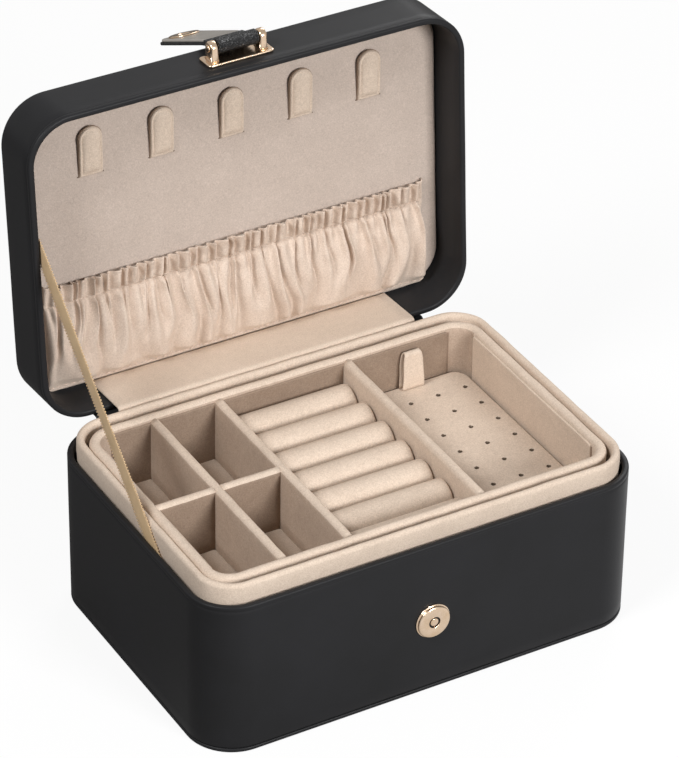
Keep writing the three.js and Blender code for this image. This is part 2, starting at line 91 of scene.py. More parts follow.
# %% Place the camera
CAMERA_PLACE = Vector((-0.5685, -0.9750, 0.8478))
CAMERA_TURN, CAMERA_TILT, CAMERA_ROLL = 0.52524, 0.59284, 0.01341
look = Vector((math.sin(CAMERA_TURN) * math.cos(CAMERA_TILT),
               math.cos(CAMERA_TURN) * math.cos(CAMERA_TILT), -math.sin(CAMERA_TILT)))
lens = bpy.data.cameras.new("camera")
lens.lens, lens.sensor_width = 202.3, 36.0
lens.clip_start, lens.clip_end = 0.05, 20.0
camera = bpy.data.objects.new("camera", lens)
bpy.context.scene.collection.objects.link(camera)
camera.matrix_world = (Matrix.Translation(CAMERA_PLACE)
                       @ look.to_track_quat("-Z", "Y").to_matrix().to_4x4()
                       @ Matrix.Rotation(CAMERA_ROLL, 4, "Z"))
bpy.context.scene.camera = camera
print("The camera stands", round(CAMERA_PLACE.length, 2), "m from the box")

# %% [markdown]
# ## Helpers for materials
# Colours are written as the hex values that a picture shows, and one function turns them to
# the linear numbers that a shader works in. Another adds a node with its settings and links,
# which keeps every material below short enough to read.


# %% Colours and nodes
def hex_colour(code):
    """An sRGB hex colour as linear red, green, blue and an alpha of 1."""
    shares = [int(code[i:i + 2], 16) / 255 for i in (1, 3, 5)]
    return [s / 12.92 if s <= 0.04045 else ((s + 0.055) / 1.055) ** 2.4 for s in shares] + [1.0]


def add_node(tree, kind, values=None, links=None, **settings):
    """A node of that kind: settings are its properties, values and links fill its inputs."""
    made = tree.nodes.new(kind)
    for key, value in settings.items():
        setattr(made, key, value)
    for key, value in (values or {}).items():
        made.inputs[key].default_value = value
    for key, source in (links or {}).items():
        tree.links.new(source, made.inputs[key])
    return made


def start_material(name, **values):
    """A new material with one shader; the shader's plain values are set on its own sockets."""
    made = bpy.data.materials.new(name)
    made.use_nodes = True
    tree = made.node_tree
    tree.nodes.clear()
    shader = add_node(tree, "ShaderNodeBsdfPrincipled")
    for key, value in values.items():
        shader.inputs[key.replace("_", " ")].default_value = value
    output = add_node(tree, "ShaderNodeOutputMaterial")
    tree.links.new(shader.outputs["BSDF"], output.inputs["Surface"])
    return made, tree, shader


def ramp(tree, factor, stops):
    """A colour ramp; each stop is a position and a hex colour."""
    made = add_node(tree, "ShaderNodeValToRGB", links={"Fac": factor})
    elements = made.color_ramp.elements
    for index, (place, code) in enumerate(stops):
        element = elements[index] if index < 2 else elements.new(place)
        element.position, element.color = place, hex_colour(code)
    return made.outputs["Color"]


print("Helpers for materials are ready")

# %% [markdown]
# ## Velvet
# The lining is a short-pile velvet, flocked on cloth. Its pile is about 0.4 mm long and leans one
# way or the other in patches, and each patch is a little lighter or darker: this mottle of about 1
# mm is what tells the eye that it is velvet. Fibres at the surface catch light at a grazing angle,
# which the sheen gives. The pile itself is far finer than the picture shows, so it is drawn at
# about 0.5 mm, as coarse as it needs to be to show. Inside faces of the tray that face the front
# or the left are covered with darker copies of the velvet, a half step and a deep step darker:
# this is painted shade. The lid's panel is a little greyer, and its darker tone is painted shade
# too. Seams, slits and pierced holes have dark tones of their own, painted shade where hardly any
# light comes back.


# %% Make the velvet
def velvet(name, dark, middle, light, mottle=1.0, own_map=None):
    """Short-pile velvet in three tones of one colour."""
    made, tree, shader = start_material(
        name, Roughness=0.92, Sheen_Weight=0.35, Sheen_Roughness=0.45, IOR=1.45,
        Sheen_Tint=hex_colour(light), Specular_IOR_Level=0.2)
    if own_map:
        place = add_node(tree, "ShaderNodeUVMap", uv_map=own_map).outputs["UV"]
    else:
        place = add_node(tree, "ShaderNodeTexCoord").outputs["Object"]
    patch = add_node(tree, "ShaderNodeTexNoise",
                     {"Scale": 1 / (2.2 * MM), "Detail": 3.0, "Roughness": 0.65},
                     {"Vector": place})
    wide = add_node(tree, "ShaderNodeTexNoise",
                    {"Scale": 1 / (16 * MM), "Detail": 2.0, "Roughness": 0.5}, {"Vector": place})
    pile = add_node(tree, "ShaderNodeTexNoise",
                    {"Scale": 1 / (0.48 * MM), "Detail": 1.5, "Roughness": 0.8}, {"Vector": place})
    sum_1 = add_node(tree, "ShaderNodeMath", {1: 0.2 * mottle, 2: 0.37 - 0.1 * mottle},
                     {0: patch.outputs["Fac"]}, operation="MULTIPLY_ADD")
    sum_2 = add_node(tree, "ShaderNodeMath", {1: 0.2}, {0: wide.outputs["Fac"],
                     2: sum_1.outputs[0]}, operation="MULTIPLY_ADD")
    sum_3 = add_node(tree, "ShaderNodeMath", {1: 0.62}, {0: pile.outputs["Fac"],
                     2: sum_2.outputs[0]}, operation="MULTIPLY_ADD")
    shade = add_node(tree, "ShaderNodeMath", {1: -0.325}, {0: sum_3.outputs[0]}, operation="ADD")
    colour = ramp(tree, shade.outputs[0], [(0.2, dark), (0.5, middle), (0.8, light)])
    tree.links.new(colour, shader.inputs["Base Color"])
    bump = add_node(tree, "ShaderNodeBump", {"Strength": 0.55, "Distance": 0.12 * MM},
                    {"Height": pile.outputs["Fac"]})
    low = add_node(tree, "ShaderNodeBump", {"Strength": 0.3, "Distance": 0.25 * MM},
                   {"Height": patch.outputs["Fac"], "Normal": bump.outputs["Normal"]})
    tree.links.new(low.outputs["Normal"], shader.inputs["Normal"])
    return made


VELVET_TONES = ("#b6a493", "#d3c1b0", "#e9dac9")
VELVET = velvet("short_pile_velvet", *VELVET_TONES)
VELVET_STRIP = velvet("short_pile_velvet_strip", *VELVET_TONES, own_map="UVMap")
# The lid's panel velvet is a little greyer, and its darker tone is painted shade.
LID_PANEL_VELVET_PAINTED_DARKER = velvet("short_pile_velvet_of_the_lid_painted_darker", "#a89a90", "#c0b1a6", "#d8c9bf")
POCKET_CLOTH = velvet("brushed_pocket_cloth", "#b6a394", "#d4c2b3", "#e9dbcd", mottle=0.5)
PIERCED = velvet("pierced_velvet_in_shade", "#574a3f", "#66584b", "#766758", mottle=0.5)
SEAM_SHADE_VELVET = velvet("velvet_painted_with_seam_shade", "#7d6a5b", "#8f7b6b", "#9f8b7b", mottle=0.5)
# Two darker copies of the velvet are painted shade: a half shade and a deep shade, for inside
# faces that face the front or the left.
PAINTED_HALF_SHADE_VELVET = velvet("short_pile_velvet_with_painted_half_shade", "#9f8c7c", "#b7a392", "#cebba9",
                 mottle=1.3)
PAINTED_DEEP_SHADE_VELVET = velvet("short_pile_velvet_with_painted_deep_shade", "#7f6c5d", "#917e6e", "#a4917f",
                     mottle=1.5)
print("Velvets:", *[made.name for made in (VELVET, VELVET_STRIP, LID_PANEL_VELVET_PAINTED_DARKER, POCKET_CLOTH,
                                           PIERCED, SEAM_SHADE_VELVET, PAINTED_HALF_SHADE_VELVET, PAINTED_DEEP_SHADE_VELVET)])

# %% [markdown]
# ## Coated leather
# The outside is polyurethane leather: a cloth coated with a black film that is pressed with a
# very fine grain. The film is smooth, so it shows wide soft highlights, and the grain of about
# 0.5 mm only breaks their edges. The strap is pressed with a coarser pebble of about 0.8 mm,
# which sparkles.


# %% Make the two leathers
def coated_leather(name, colour, worn, roughness, grain, depth, shine=0.11, own_map=None):
    """Black coated leather with a pressed grain of that width and depth, in millimetres."""
    made, tree, shader = start_material(name, IOR=1.5, Specular_IOR_Level=shine)
    if own_map:
        place = add_node(tree, "ShaderNodeUVMap", uv_map=own_map).outputs["UV"]
    else:
        place = add_node(tree, "ShaderNodeTexCoord").outputs["Object"]
    cells = add_node(tree, "ShaderNodeTexVoronoi", {"Scale": 1 / (grain * MM)},
                     {"Vector": place}, feature="DISTANCE_TO_EDGE")
    rubbed = add_node(tree, "ShaderNodeTexNoise",
                      {"Scale": 1 / (30 * MM), "Detail": 4.0, "Roughness": 0.6},
                      {"Vector": place})
    fine = add_node(tree, "ShaderNodeTexNoise",
                    {"Scale": 1 / (0.4 * grain * MM), "Detail": 2.0}, {"Vector": place})
    tone = ramp(tree, rubbed.outputs["Fac"], [(0.3, colour), (0.75, worn)])
    tree.links.new(tone, shader.inputs["Base Color"])
    dull = add_node(tree, "ShaderNodeMapRange",
                    {"From Min": 0.3, "From Max": 0.7, "To Min": roughness - 0.03,
                     "To Max": roughness + 0.03}, {"Value": rubbed.outputs["Fac"]})
    tree.links.new(dull.outputs["Result"], shader.inputs["Roughness"])
    rounded = add_node(tree, "ShaderNodeMath", {1: 0.5}, {0: cells.outputs["Distance"]},
                       operation="POWER")
    height = add_node(tree, "ShaderNodeMath", {1: 0.35}, {0: fine.outputs["Fac"],
                      2: rounded.outputs[0]}, operation="MULTIPLY_ADD")
    bump = add_node(tree, "ShaderNodeBump", {"Strength": 0.6, "Distance": depth * MM},
                    {"Height": height.outputs[0]})
    tree.links.new(bump.outputs["Normal"], shader.inputs["Normal"])
    return made


LEATHER = coated_leather("smooth_coated_leather", "#242425", "#28282a", 0.38, 0.5, 0.015)
LEATHER_STRIP = coated_leather("smooth_coated_leather_strip", "#242425", "#28282a", 0.38, 0.5,
                               0.02, own_map="UVMap")
PEBBLED = coated_leather("pebbled_coated_leather", "#111112", "#19191a", 0.28, 0.85, 0.9, 0.5)
print("Leather:", LEATHER.name, LEATHER_STRIP.name, PEBBLED.name)

# %% [markdown]
# ## Metal, satin, elastic and the strap's lining
# The fittings are zinc, polished and plated with pale champagne gold, so they mirror the room
# softly. The ribbon is satin: its long threads lie side by side at about 0.3 mm here and give
# one streak of light across the width. The elastic is ribbed, and the strap's lining is a pale
# glossy film.


# %% Make the small finishes
def plated_gold():
    """Zinc under pale gold; handling leaves its tone and polish a little uneven."""
    made, tree, shader = start_material("champagne_gold_plated_zinc", Metallic=1.0)
    place = add_node(tree, "ShaderNodeTexCoord").outputs["Object"]
    handled = add_node(tree, "ShaderNodeTexNoise",
                       {"Scale": 1 / (3 * MM), "Detail": 3.0}, {"Vector": place})
    tone = ramp(tree, handled.outputs["Fac"], [(0.3, "#e4c7a7"), (0.7, "#efd6bd")])
    tree.links.new(tone, shader.inputs["Base Color"])
    dull = add_node(tree, "ShaderNodeMapRange", {"To Min": 0.16, "To Max": 0.26},
                    {"Value": handled.outputs["Fac"]})
    tree.links.new(dull.outputs["Result"], shader.inputs["Roughness"])
    fine = add_node(tree, "ShaderNodeTexNoise", {"Scale": 1 / (0.3 * MM)}, {"Vector": place})
    bump = add_node(tree, "ShaderNodeBump", {"Strength": 0.05, "Distance": 0.01 * MM},
                    {"Height": fine.outputs["Fac"]})
    tree.links.new(bump.outputs["Normal"], shader.inputs["Normal"])
    return made


def threads(name, dark, light, spacing, across, **values):
    """Cloth of parallel threads: spacing in millimetres, across is the map's axis they cross."""
    made, tree, shader = start_material(name, **values)
    place = add_node(tree, "ShaderNodeUVMap", uv_map="UVMap").outputs["UV"]
    wave = add_node(tree, "ShaderNodeTexWave",
                    {"Scale": 1 / (spacing * MM) / 20 * math.tau, "Distortion": 0.6,
                     "Detail": 2.0, "Detail Scale": 1.5},
                    {"Vector": place}, wave_type="BANDS", bands_direction=across)
    uneven = add_node(tree, "ShaderNodeTexNoise", {"Scale": 1 / (5 * MM)}, {"Vector": place})
    both = add_node(tree, "ShaderNodeMath", {1: 0.6}, {0: wave.outputs["Fac"],
                    2: uneven.outputs["Fac"]}, operation="MULTIPLY_ADD")
    tone = ramp(tree, both.outputs[0], [(0.3, dark), (1.0, light)])
    tree.links.new(tone, shader.inputs["Base Color"])
    bump = add_node(tree, "ShaderNodeBump", {"Strength": 0.35, "Distance": 0.05 * MM},
                    {"Height": wave.outputs["Fac"]})
    tree.links.new(bump.outputs["Normal"], shader.inputs["Normal"])
    return made


GOLD = plated_gold()
SATIN = threads("woven_satin_ribbon", "#c6a67c", "#dfc199", 0.3, "X", Roughness=0.42,
                Sheen_Weight=0.25, Sheen_Roughness=0.3)
ELASTIC = threads("ribbed_elastic", "#cfc4b6", "#efe6db", 0.8, "Y", Roughness=0.8)
LINING = coated_leather("glossy_strap_film", "#aca69e", "#c4beb6", 0.25, 0.7, 0.02, 0.6)
print("Small finishes:", GOLD.name, SATIN.name, ELASTIC.name, LINING.name)

# %% [markdown]
# ## Helpers for shapes
# Nearly every piece of the box is a rounded rectangle that is stacked or swept: a wall is a
# small outline carried round it, and a padded board is a stack of ever smaller copies of it.
# So one function gives the rounded rectangle at an inset, and another joins a stack of such
# rings into a mesh. The sides are divided too, so that a soft piece can be a little uneven.


# %% Rings and stacks
def ring(width, depth, radius, inset=0.0, steps=10, along=(24, 18)):
    """The points of a rounded rectangle, counter-clockwise, drawn in by the inset; in mm."""
    x, y, r = width / 2 - inset, depth / 2 - inset, max(radius - inset, 0.02)
    corners = [((x - r, r - y), -90), ((x - r, y - r), 0), ((r - x, y - r), 90),
               ((r - x, r - y), 180)]
    points = []
    for index, ((cx, cy), start) in enumerate(corners):
        for step in range(steps + 1):
            turn = math.radians(start + 90 * step / steps)
            points.append((cx + r * math.cos(turn), cy + r * math.sin(turn)))
        (nx, ny), turn = corners[(index + 1) % 4][0], math.radians(start + 90)
        end = (nx + r * math.cos(turn), ny + r * math.sin(turn))
        here, count = points[-1], along[(index + 1) % 2]
        points += [(here[0] + (end[0] - here[0]) * k / count,
                    here[1] + (end[1] - here[1]) * k / count) for k in range(1, count)]
    return np.array(points)


def quarter(radius, steps, start, end):
    """The rounding of an edge: pairs of shares of its radius, between two angles in degrees."""
    turns = np.radians(np.linspace(start, end, steps + 1))
    return [(radius * math.cos(t), radius * math.sin(t)) for t in turns]


def facing_out(points, faces):
    """The faces of a closed shape, turned round if they enclose a negative volume."""
    points = np.asarray(points, float) - np.mean(points, axis=0)
    fans = np.array([(f[0], f[k], f[k + 1]) for f in faces for k in range(1, len(f) - 1)])
    a, b, c = points[fans[:, 0]], points[fans[:, 1]], points[fans[:, 2]]
    volume = np.einsum("ij,ij->", a, np.cross(b, c))
    return faces if volume > 0 else [tuple(reversed(f)) for f in faces]


def add_piece(name, points, faces, finish, smooth=True, flat_map=None, closed=True):
    """A mesh object from points in metres; flat_map holds a pair of map numbers per point."""
    data = bpy.data.meshes.new(name)
    data.from_pydata([tuple(map(float, p)) for p in points], [],
                     facing_out(points, faces) if closed else faces)
    data.materials.append(finish)
    if smooth:
        data.shade_smooth()
    if flat_map is not None:
        layer = data.uv_layers.new(name="UVMap")
        index = np.empty(len(data.loops), int)
        data.loops.foreach_get("vertex_index", index)
        layer.data.foreach_set("uv", np.asarray(flat_map, np.float32)[index].ravel())
    data.update()
    made = bpy.data.objects.new(name, data)
    bpy.context.scene.collection.objects.link(made)
    return made


def stack(rings, closed=False):
    """Points and faces that join rings of equal count; closed joins the last to the first."""
    count = len(rings[0])
    points = np.concatenate(rings)
    faces = []
    for i in range(len(rings) - (0 if closed else 1)):
        a, b = i * count, ((i + 1) % len(rings)) * count
        faces += [(a + k, a + (k + 1) % count, b + (k + 1) % count, b + k) for k in range(count)]
    if not closed:
        last = (len(rings) - 1) * count
        faces.append(tuple(reversed(range(count))))
        faces.append(tuple(range(last, last + count)))
    return points, faces


def rounded_stack(width, depth, radius, section, closed=False, steps=10, along=(24, 18)):
    """A stack from a section of (inset, height) pairs in mm, about the origin."""
    rings = []
    for inset, height in section:
        flat = ring(width, depth, radius, inset, steps, along)
        rings.append(np.column_stack([flat, np.full(len(flat), height)]))
    return stack(rings, closed)


def soften(points, size, amount):
    """Moves points a little, by a smooth noise of that size, as cloth over a board does."""
    moved = [np.array(noise.noise_vector(Vector(p) / size)) * amount for p in points]
    return points + np.array(moved)


def board_section(height, edge, steps=5, support=0.6):
    """The section of a board with both edges rounded, ready for rounded_stack."""
    low = [(edge - c, edge - s) for c, s in quarter(edge, steps, 90, 0)]
    high = [(edge - c, height - edge + s) for c, s in quarter(edge, steps, 0, 90)]
    return [(edge + support, 0.0), *low, *high, (edge + support, height)]


def cover_part(piece, finish, chosen):
    """Another finish on the faces that a test chooses by their middle, in mm, and their normal."""
    piece.data.materials.append(finish)
    for face in piece.data.polygons:
        face.material_index = int(chosen(face.center / MM, face.normal))


def place_mesh(points, matrix=None, move=(0, 0, 0)):
    """Points in millimetres, moved and turned into their place in metres."""
    points = (np.asarray(points, float) + np.array(move)) * MM
    if matrix is None:
        return points
    turn = np.array(matrix)
    return points @ turn[:3, :3].T + turn[:3, 3]


def joined(shapes):
    """The points and faces of several shapes, as one."""
    points, faces = [], []
    for shape_points, shape_faces in shapes:
        faces += [tuple(i + len(points) for i in face) for face in shape_faces]
        points += [tuple(p) for p in shape_points]
    return points, faces


print("Helpers for shapes are ready")

# %% [markdown]
# ## The room
# The box stands on a plain pale floor under large soft lamps, as in a studio. The floor and the
# world are white to the camera. In reflections they are dimmer, as the dark stand of a studio
# is, which keeps the leather black and gives the metal its dark bands. The reflected floor is
# brightest in front, so the front of the box looks a little lighter than its left side. The
# floor's white is only partly its own light, so that it still darkens where the box shades it.

# %% Floor, world and lamps
REFLECTED = 0.42


def white_share(tree, camera_share, reflected):
    """1 for what the camera sees, times its share, and less for what metal and gloss see."""
    path = add_node(tree, "ShaderNodeLightPath")
    seen = add_node(tree, "ShaderNodeMath", {1: camera_share}, {0: path.outputs["Is Camera Ray"]},
                    operation="MULTIPLY")
    gloss = add_node(tree, "ShaderNodeMath", links={0: path.outputs["Is Glossy Ray"],
                     1: path.outputs["Is Transmission Ray"]}, operation="MAXIMUM")
    return add_node(tree, "ShaderNodeMath", links={0: gloss.outputs[0], 1: reflected,
                    2: seen.outputs[0]}, operation="MULTIPLY_ADD").outputs[0], path


def brighter_in_front(tree):
    """What gloss sees of the floor: bright in front and on the right, dim on the left."""
    place = add_node(tree, "ShaderNodeTexCoord").outputs["Object"]
    parts = add_node(tree, "ShaderNodeSeparateXYZ", links={"Vector": place})
    across = add_node(tree, "ShaderNodeMath", links={0: parts.outputs["X"],
                      1: parts.outputs["Y"]}, operation="SUBTRACT")
    bright = add_node(tree, "ShaderNodeMapRange",
                      {"From Min": -0.12, "From Max": 0.16, "To Min": 0.06, "To Max": 0.85},
                      {"Value": across.outputs[0]}, interpolation_type="SMOOTHSTEP")
    return bright.outputs["Result"]


def pale_floor():
    """The studio's floor, partly lit by itself, and darker where the box shades it."""
    made, tree, shader = start_material("pale_studio_floor", Roughness=0.9,
                                        Specular_IOR_Level=0.0)
    output = next(n for n in tree.nodes if n.type == "OUTPUT_MATERIAL")
    share, path = white_share(tree, 0.88, brighter_in_front(tree))
    tone = ramp(tree, path.outputs["Is Camera Ray"], [(0.0, "#62605e"), (1.0, "#f8f8f8")])
    tree.links.new(tone, shader.inputs["Base Color"])
    glow = add_node(tree, "ShaderNodeEmission", {"Color": (1, 1, 1, 1), "Strength": 1.0})
    mix = add_node(tree, "ShaderNodeMixShader", links={0: share, 1: shader.outputs["BSDF"],
                   2: glow.outputs["Emission"]})
    tree.links.new(mix.outputs["Shader"], output.inputs["Surface"])
    return made


floor_points = [(x, y, -0.0002) for x, y in ((-3, -3), (3, -3), (3, 3), (-3, 3))]
floor_data = bpy.data.meshes.new("floor")
floor_data.from_pydata(floor_points, [], [(0, 1, 2, 3)])
floor_data.materials.append(pale_floor())
floor = bpy.data.objects.new("floor", floor_data)
bpy.context.scene.collection.objects.link(floor)
floor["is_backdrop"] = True

world = bpy.data.worlds.new("studio")
world.use_nodes = True
bpy.context.scene.world = world
sky = world.node_tree
sky.nodes.clear()
dim = add_node(sky, "ShaderNodeValue")
dim.outputs[0].default_value = REFLECTED
sky_share, _ = white_share(sky, 1.0, dim.outputs[0])
soft = add_node(sky, "ShaderNodeBackground", {"Color": hex_colour("#dcdad8"), "Strength": 0.26})
white = add_node(sky, "ShaderNodeBackground", {"Color": (1, 1, 1, 1), "Strength": 1.0})
sky_mix = add_node(sky, "ShaderNodeMixShader", links={0: sky_share, 1: soft.outputs[0],
                                                      2: white.outputs[0]})
add_node(sky, "ShaderNodeOutputWorld", links={"Surface": sky_mix.outputs[0]})


def add_lamp(name, place, aim, size, power):
    """A square soft lamp that faces a point."""
    data = bpy.data.lights.new(name, "AREA")
    data.shape, data.size, data.energy = "SQUARE", size, power
    lamp = bpy.data.objects.new(name, data)
    bpy.context.scene.collection.objects.link(lamp)
    lamp.location = place
    lamp.rotation_euler = (Vector(aim) - Vector(place)).to_track_quat("-Z", "Y").to_euler()


AIM = (0, 0, 0.08)
add_lamp("lamp_front_right", (0.3, -1.35, 0.66), AIM, 0.45, 20.5)
add_lamp("lamp_above_left", (-0.85, -0.25, 1.0), AIM, 0.4, 10.5)
add_lamp("lamp_behind_right", (0.9, 0.9, 0.9), AIM, 0.6, 6.0)
bpy.context.scene.view_settings.view_transform = "Standard"

# %% [markdown]
# ## The base
# The base is a board box in coated leather. A velvet ring stands inside it and rises 6 mm above
# the leather, where the lid will slip over it. Each is a section carried round a rounded
# rectangle: a thin wall with a folded edge for the leather, and a wall with a full round top
# for the padded collar.

# %% Leather wall and bottom board
BOX_W, BOX_D, BOX_R = 160.0, 110.0, 16.0
RIM, LID_H, SEAT = 57.0, 21.0, 0.3
BOARD_T, WALL_T = 1.4, 2.2
wall_section = [
    (WALL_T, BOARD_T + SEAT), (0.5, BOARD_T + SEAT), (0.15, BOARD_T + SEAT + 0.15),
    (0.0, BOARD_T + SEAT + 0.5), (0.0, 6.0), (0.0, 20.0), (0.0, 38.0), (0.0, RIM - 3.0),
    (0.0, RIM - 1.85), (0.12, RIM - 1.65), (0.0, RIM - 1.45), (0.0, RIM - 0.6),
    (0.05, RIM - 0.33), (0.18, RIM - 0.12), (0.38, RIM - 0.02), (0.6, RIM),
    (1.3, RIM), (1.75, RIM - 0.1), (2.05, RIM - 0.35), (WALL_T, RIM - 0.8), (WALL_T, RIM - 4.0)]
points, faces = rounded_stack(BOX_W, BOX_D, BOX_R, wall_section, closed=True, steps=16)
base_wall = add_piece("base_leather", place_mesh(soften(points, 24.0, 0.07)), faces, LEATHER)
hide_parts("base_shell")
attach(base_wall, "base")

points, faces = rounded_stack(BOX_W, BOX_D, BOX_R, board_section(BOARD_T, 0.45, 3), steps=16)
base_board = add_piece("base_underside", place_mesh(points), faces, LEATHER)
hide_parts("base_bottom_board")
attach(base_board, "base")
print("Base leather:", len(base_wall.data.polygons), "faces, rim at", RIM, "mm")

# %% Velvet collar, floor and ledges
LINER_IN, LINER_T, COLLAR_TOP = 3.2, 2.6, 63.0
FOOT = BOARD_T + SEAT
half = LINER_T / 2
collar_top = [(LINER_IN + half - c, COLLAR_TOP - half + s) for c, s in quarter(half, 10, 0, 180)]
collar_section = [(LINER_IN + LINER_T, FOOT), (LINER_IN, FOOT), (LINER_IN, RIM - 6),
                  (LINER_IN, RIM - 0.5), (LINER_IN - 0.15, RIM + 1.5), (LINER_IN - 0.1, RIM + 3.4),
                  *collar_top, (LINER_IN + LINER_T, RIM + 2), (LINER_IN + LINER_T, RIM - 8),
                  (LINER_IN + LINER_T, 34.0), (LINER_IN + LINER_T, 16.0)]
points, faces = rounded_stack(BOX_W, BOX_D, BOX_R, collar_section, closed=True, steps=16,
                              along=(60, 44))
collar = add_piece("base_velvet_collar", place_mesh(soften(points, 9.0, 0.16)), faces, VELVET)
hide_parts("base_liner")
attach(collar, "base")

INSIDE_W, INSIDE_D = BOX_W - 2 * (LINER_IN + LINER_T), BOX_D - 2 * (LINER_IN + LINER_T)
INSIDE_R = BOX_R - LINER_IN - LINER_T
points, faces = rounded_stack(INSIDE_W - 0.5, INSIDE_D - 0.5, INSIDE_R, board_section(2.6, 0.9),
                              along=(30, 20))
base_floor = add_piece("base_velvet_floor", place_mesh(soften(points, 14.0, 0.12),
                       move=(0, 0, FOOT)), faces, VELVET)
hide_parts("base_floor_pad")
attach(base_floor, "base")

for word in ("left", "right"):
    low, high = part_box(f"tray_ledge_{word}")
    size, middle = (high - low) / MM, (high + low) / 2 / MM
    points, faces = rounded_stack(size.x, size.y, 1.2, board_section(size.z, 0.7, 4, 0.3),
                                  steps=5, along=(2, 16))
    ledge = add_piece(f"velvet_ledge_{word}", place_mesh(soften(points, 9.0, 0.1),
                      move=(middle.x, middle.y, low.z / MM)), faces, VELVET)
    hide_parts(f"tray_ledge_{word}")
    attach(ledge, "base")
print("Collar top at", COLLAR_TOP, "mm, the room inside is", INSIDE_W, "by", INSIDE_D, "mm")

# %% [markdown]
# ## The snap
# A magnetic snap is turned from metal: a thin flange against the leather, a disc on it with a
# bright cut edge, and a rivet's stud in a hole at the middle. A black ring round the stud is
# painted shade in the deep gap of the hole. A profile that is spun round an axis gives all of
# that, with enough sides to look round in a close view.


# %% Spin a profile
def spun(profile, sides=72):
    """Points and faces of a profile of (radius, height) pairs spun about the height."""
    rings = []
    for radius, height in profile:
        turns = np.linspace(0, math.tau, sides, endpoint=False)
        rings.append(np.column_stack([max(radius, 0.004) * np.cos(turns),
                                      max(radius, 0.004) * np.sin(turns),
                                      np.full(sides, height)]))
    return stack(rings)


def facing_front(points):
    """Turns a piece that stands up so that it stands out towards the front."""
    return np.column_stack([points[:, 0], -points[:, 2], points[:, 1]])


SNAP_Z, SNAP_R = 27.6, 6.2
disc_profile = [(0, 0), (SNAP_R - 0.1, 0), (SNAP_R, 0.1), (SNAP_R, 0.42), (SNAP_R - 0.12, 0.52),
                (5.85, 0.55), (5.75, 0.62), (5.8, 0.72), (5.8, 1.2), (5.7, 1.38), (5.5, 1.52),
                (5.25, 1.6), (4.6, 1.6), (2.2, 1.6), (2.1, 1.57), (2.05, 1.5), (2.05, 1.3),
                (2.05, 0.7), (1.95, 0.6), (0, 0.6)]
stud_profile = [(0, 0.55), (1.37, 0.55), (1.45, 0.65), (1.45, 1.3), (1.4, 1.42), (1.25, 1.48),
                (0.6, 1.5), (0, 1.5)]
for name, profile, node in (("snap_gold_disc", disc_profile, "snap_disc"),
                            ("snap_gold_stud", stud_profile, "snap_stud")):
    points, faces = spun(profile)
    piece = add_piece(name, place_mesh(facing_front(points), move=(0, -BOX_D / 2 - 0.02, SNAP_Z)),
                      faces, GOLD)
    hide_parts(node)
    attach(piece, "base")
# A black disc in the stud's hole: painted shade of the deep gap round the stud.
points, faces = spun([(0, 0.58), (2.0, 0.58), (2.0, 1.15), (0, 1.15)], 48)
gap_shade_ring = add_piece("snap_dark_washer", place_mesh(facing_front(points), move=(0, -BOX_D / 2 - 0.02,
                   SNAP_Z)), faces, LEATHER, smooth=False)
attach(gap_shade_ring, "base")
print("The snap is", 2 * SNAP_R, "mm across")

# %% [markdown]
# ## The lid's shell and panel
# The lid is drawn shut, where all its lines are level, and one matrix then opens it about the
# hinge. Its section runs from the ceiling inside, down the inner wall, round the rim and up
# the outside. A padded velvet panel fills its ceiling.

# %% The matrix that opens the lid
hinge = Vector(joints["lid_hinge"]["pos_m"])
open_turn = math.radians(joints["lid_hinge"]["range_deg"][0])
OPEN = (Matrix.Translation(hinge) @ Matrix.Rotation(open_turn, 4, "X")
        @ Matrix.Translation(-hinge))
LID_Z = RIM + SEAT
LID_TOP = LID_Z + LID_H
print("The lid opens by", round(-math.degrees(open_turn), 1), "degrees")

# %% Leather shell of the lid
ceiling = LID_TOP - 2.4
rounding = [(1.7 - c, LID_TOP - 1.7 + s) for c, s in quarter(1.7, 7, 0, 90)]
lid_section = [
    (WALL_T + 1.0, ceiling), (WALL_T, ceiling), (WALL_T, ceiling - 6), (WALL_T, LID_Z + 6.0),
    (WALL_T, LID_Z + 0.7), (WALL_T - 0.12, LID_Z + 0.32), (WALL_T - 0.36, LID_Z + 0.08),
    (WALL_T - 0.65, LID_Z), (0.75, LID_Z), (0.42, LID_Z + 0.06), (0.15, LID_Z + 0.28),
    (0.0, LID_Z + 0.7), (0.0, LID_Z + 1.45), (0.12, LID_Z + 1.65), (0.0, LID_Z + 1.85),
    (0.0, LID_Z + 5.0), (0.0, LID_TOP - 6.0), *rounding, (2.6, LID_TOP),
    (12.0, LID_TOP)]
points, faces = rounded_stack(BOX_W, BOX_D, BOX_R, lid_section, steps=16)
lid_leather = add_piece("lid_leather", place_mesh(soften(points, 26.0, 0.08), OPEN), faces,
                        LEATHER)
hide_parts("lid_shell")
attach(lid_leather, "lid")
print("Lid leather:", len(lid_leather.data.polygons), "faces")

# %% Velvet panel of the lid
PANEL_Z = ceiling - SEAT - 2.9
PANEL_W, PANEL_D, PANEL_R = BOX_W - 5.0, BOX_D - 5.0, BOX_R - 2.5
panel_edge = [(1.3 - c * 1.3, PANEL_Z + 1.3 - s * 1.3) for c, s in quarter(1.0, 6, 90, 0)]
panel_section = [(10.0, PANEL_Z - 0.05), (4.0, PANEL_Z - 0.03), (2.2, PANEL_Z), *panel_edge,
                 (0.0, PANEL_Z + 2.4), (0.3, PANEL_Z + 2.9), (4.0, PANEL_Z + 2.9)]
points, faces = rounded_stack(PANEL_W, PANEL_D, PANEL_R, panel_section, steps=12, along=(40, 28))
# The panel's velvet is painted a shade darker than the rest of the lining.
panel = add_piece("lid_velvet_panel", place_mesh(soften(points, 12.0, 0.1), OPEN), faces,
                  LID_PANEL_VELVET_PAINTED_DARKER)
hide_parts("lid_panel")
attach(panel, "lid")
print("The panel's face lies", round(PANEL_Z - LID_Z, 1), "mm inside the rim")
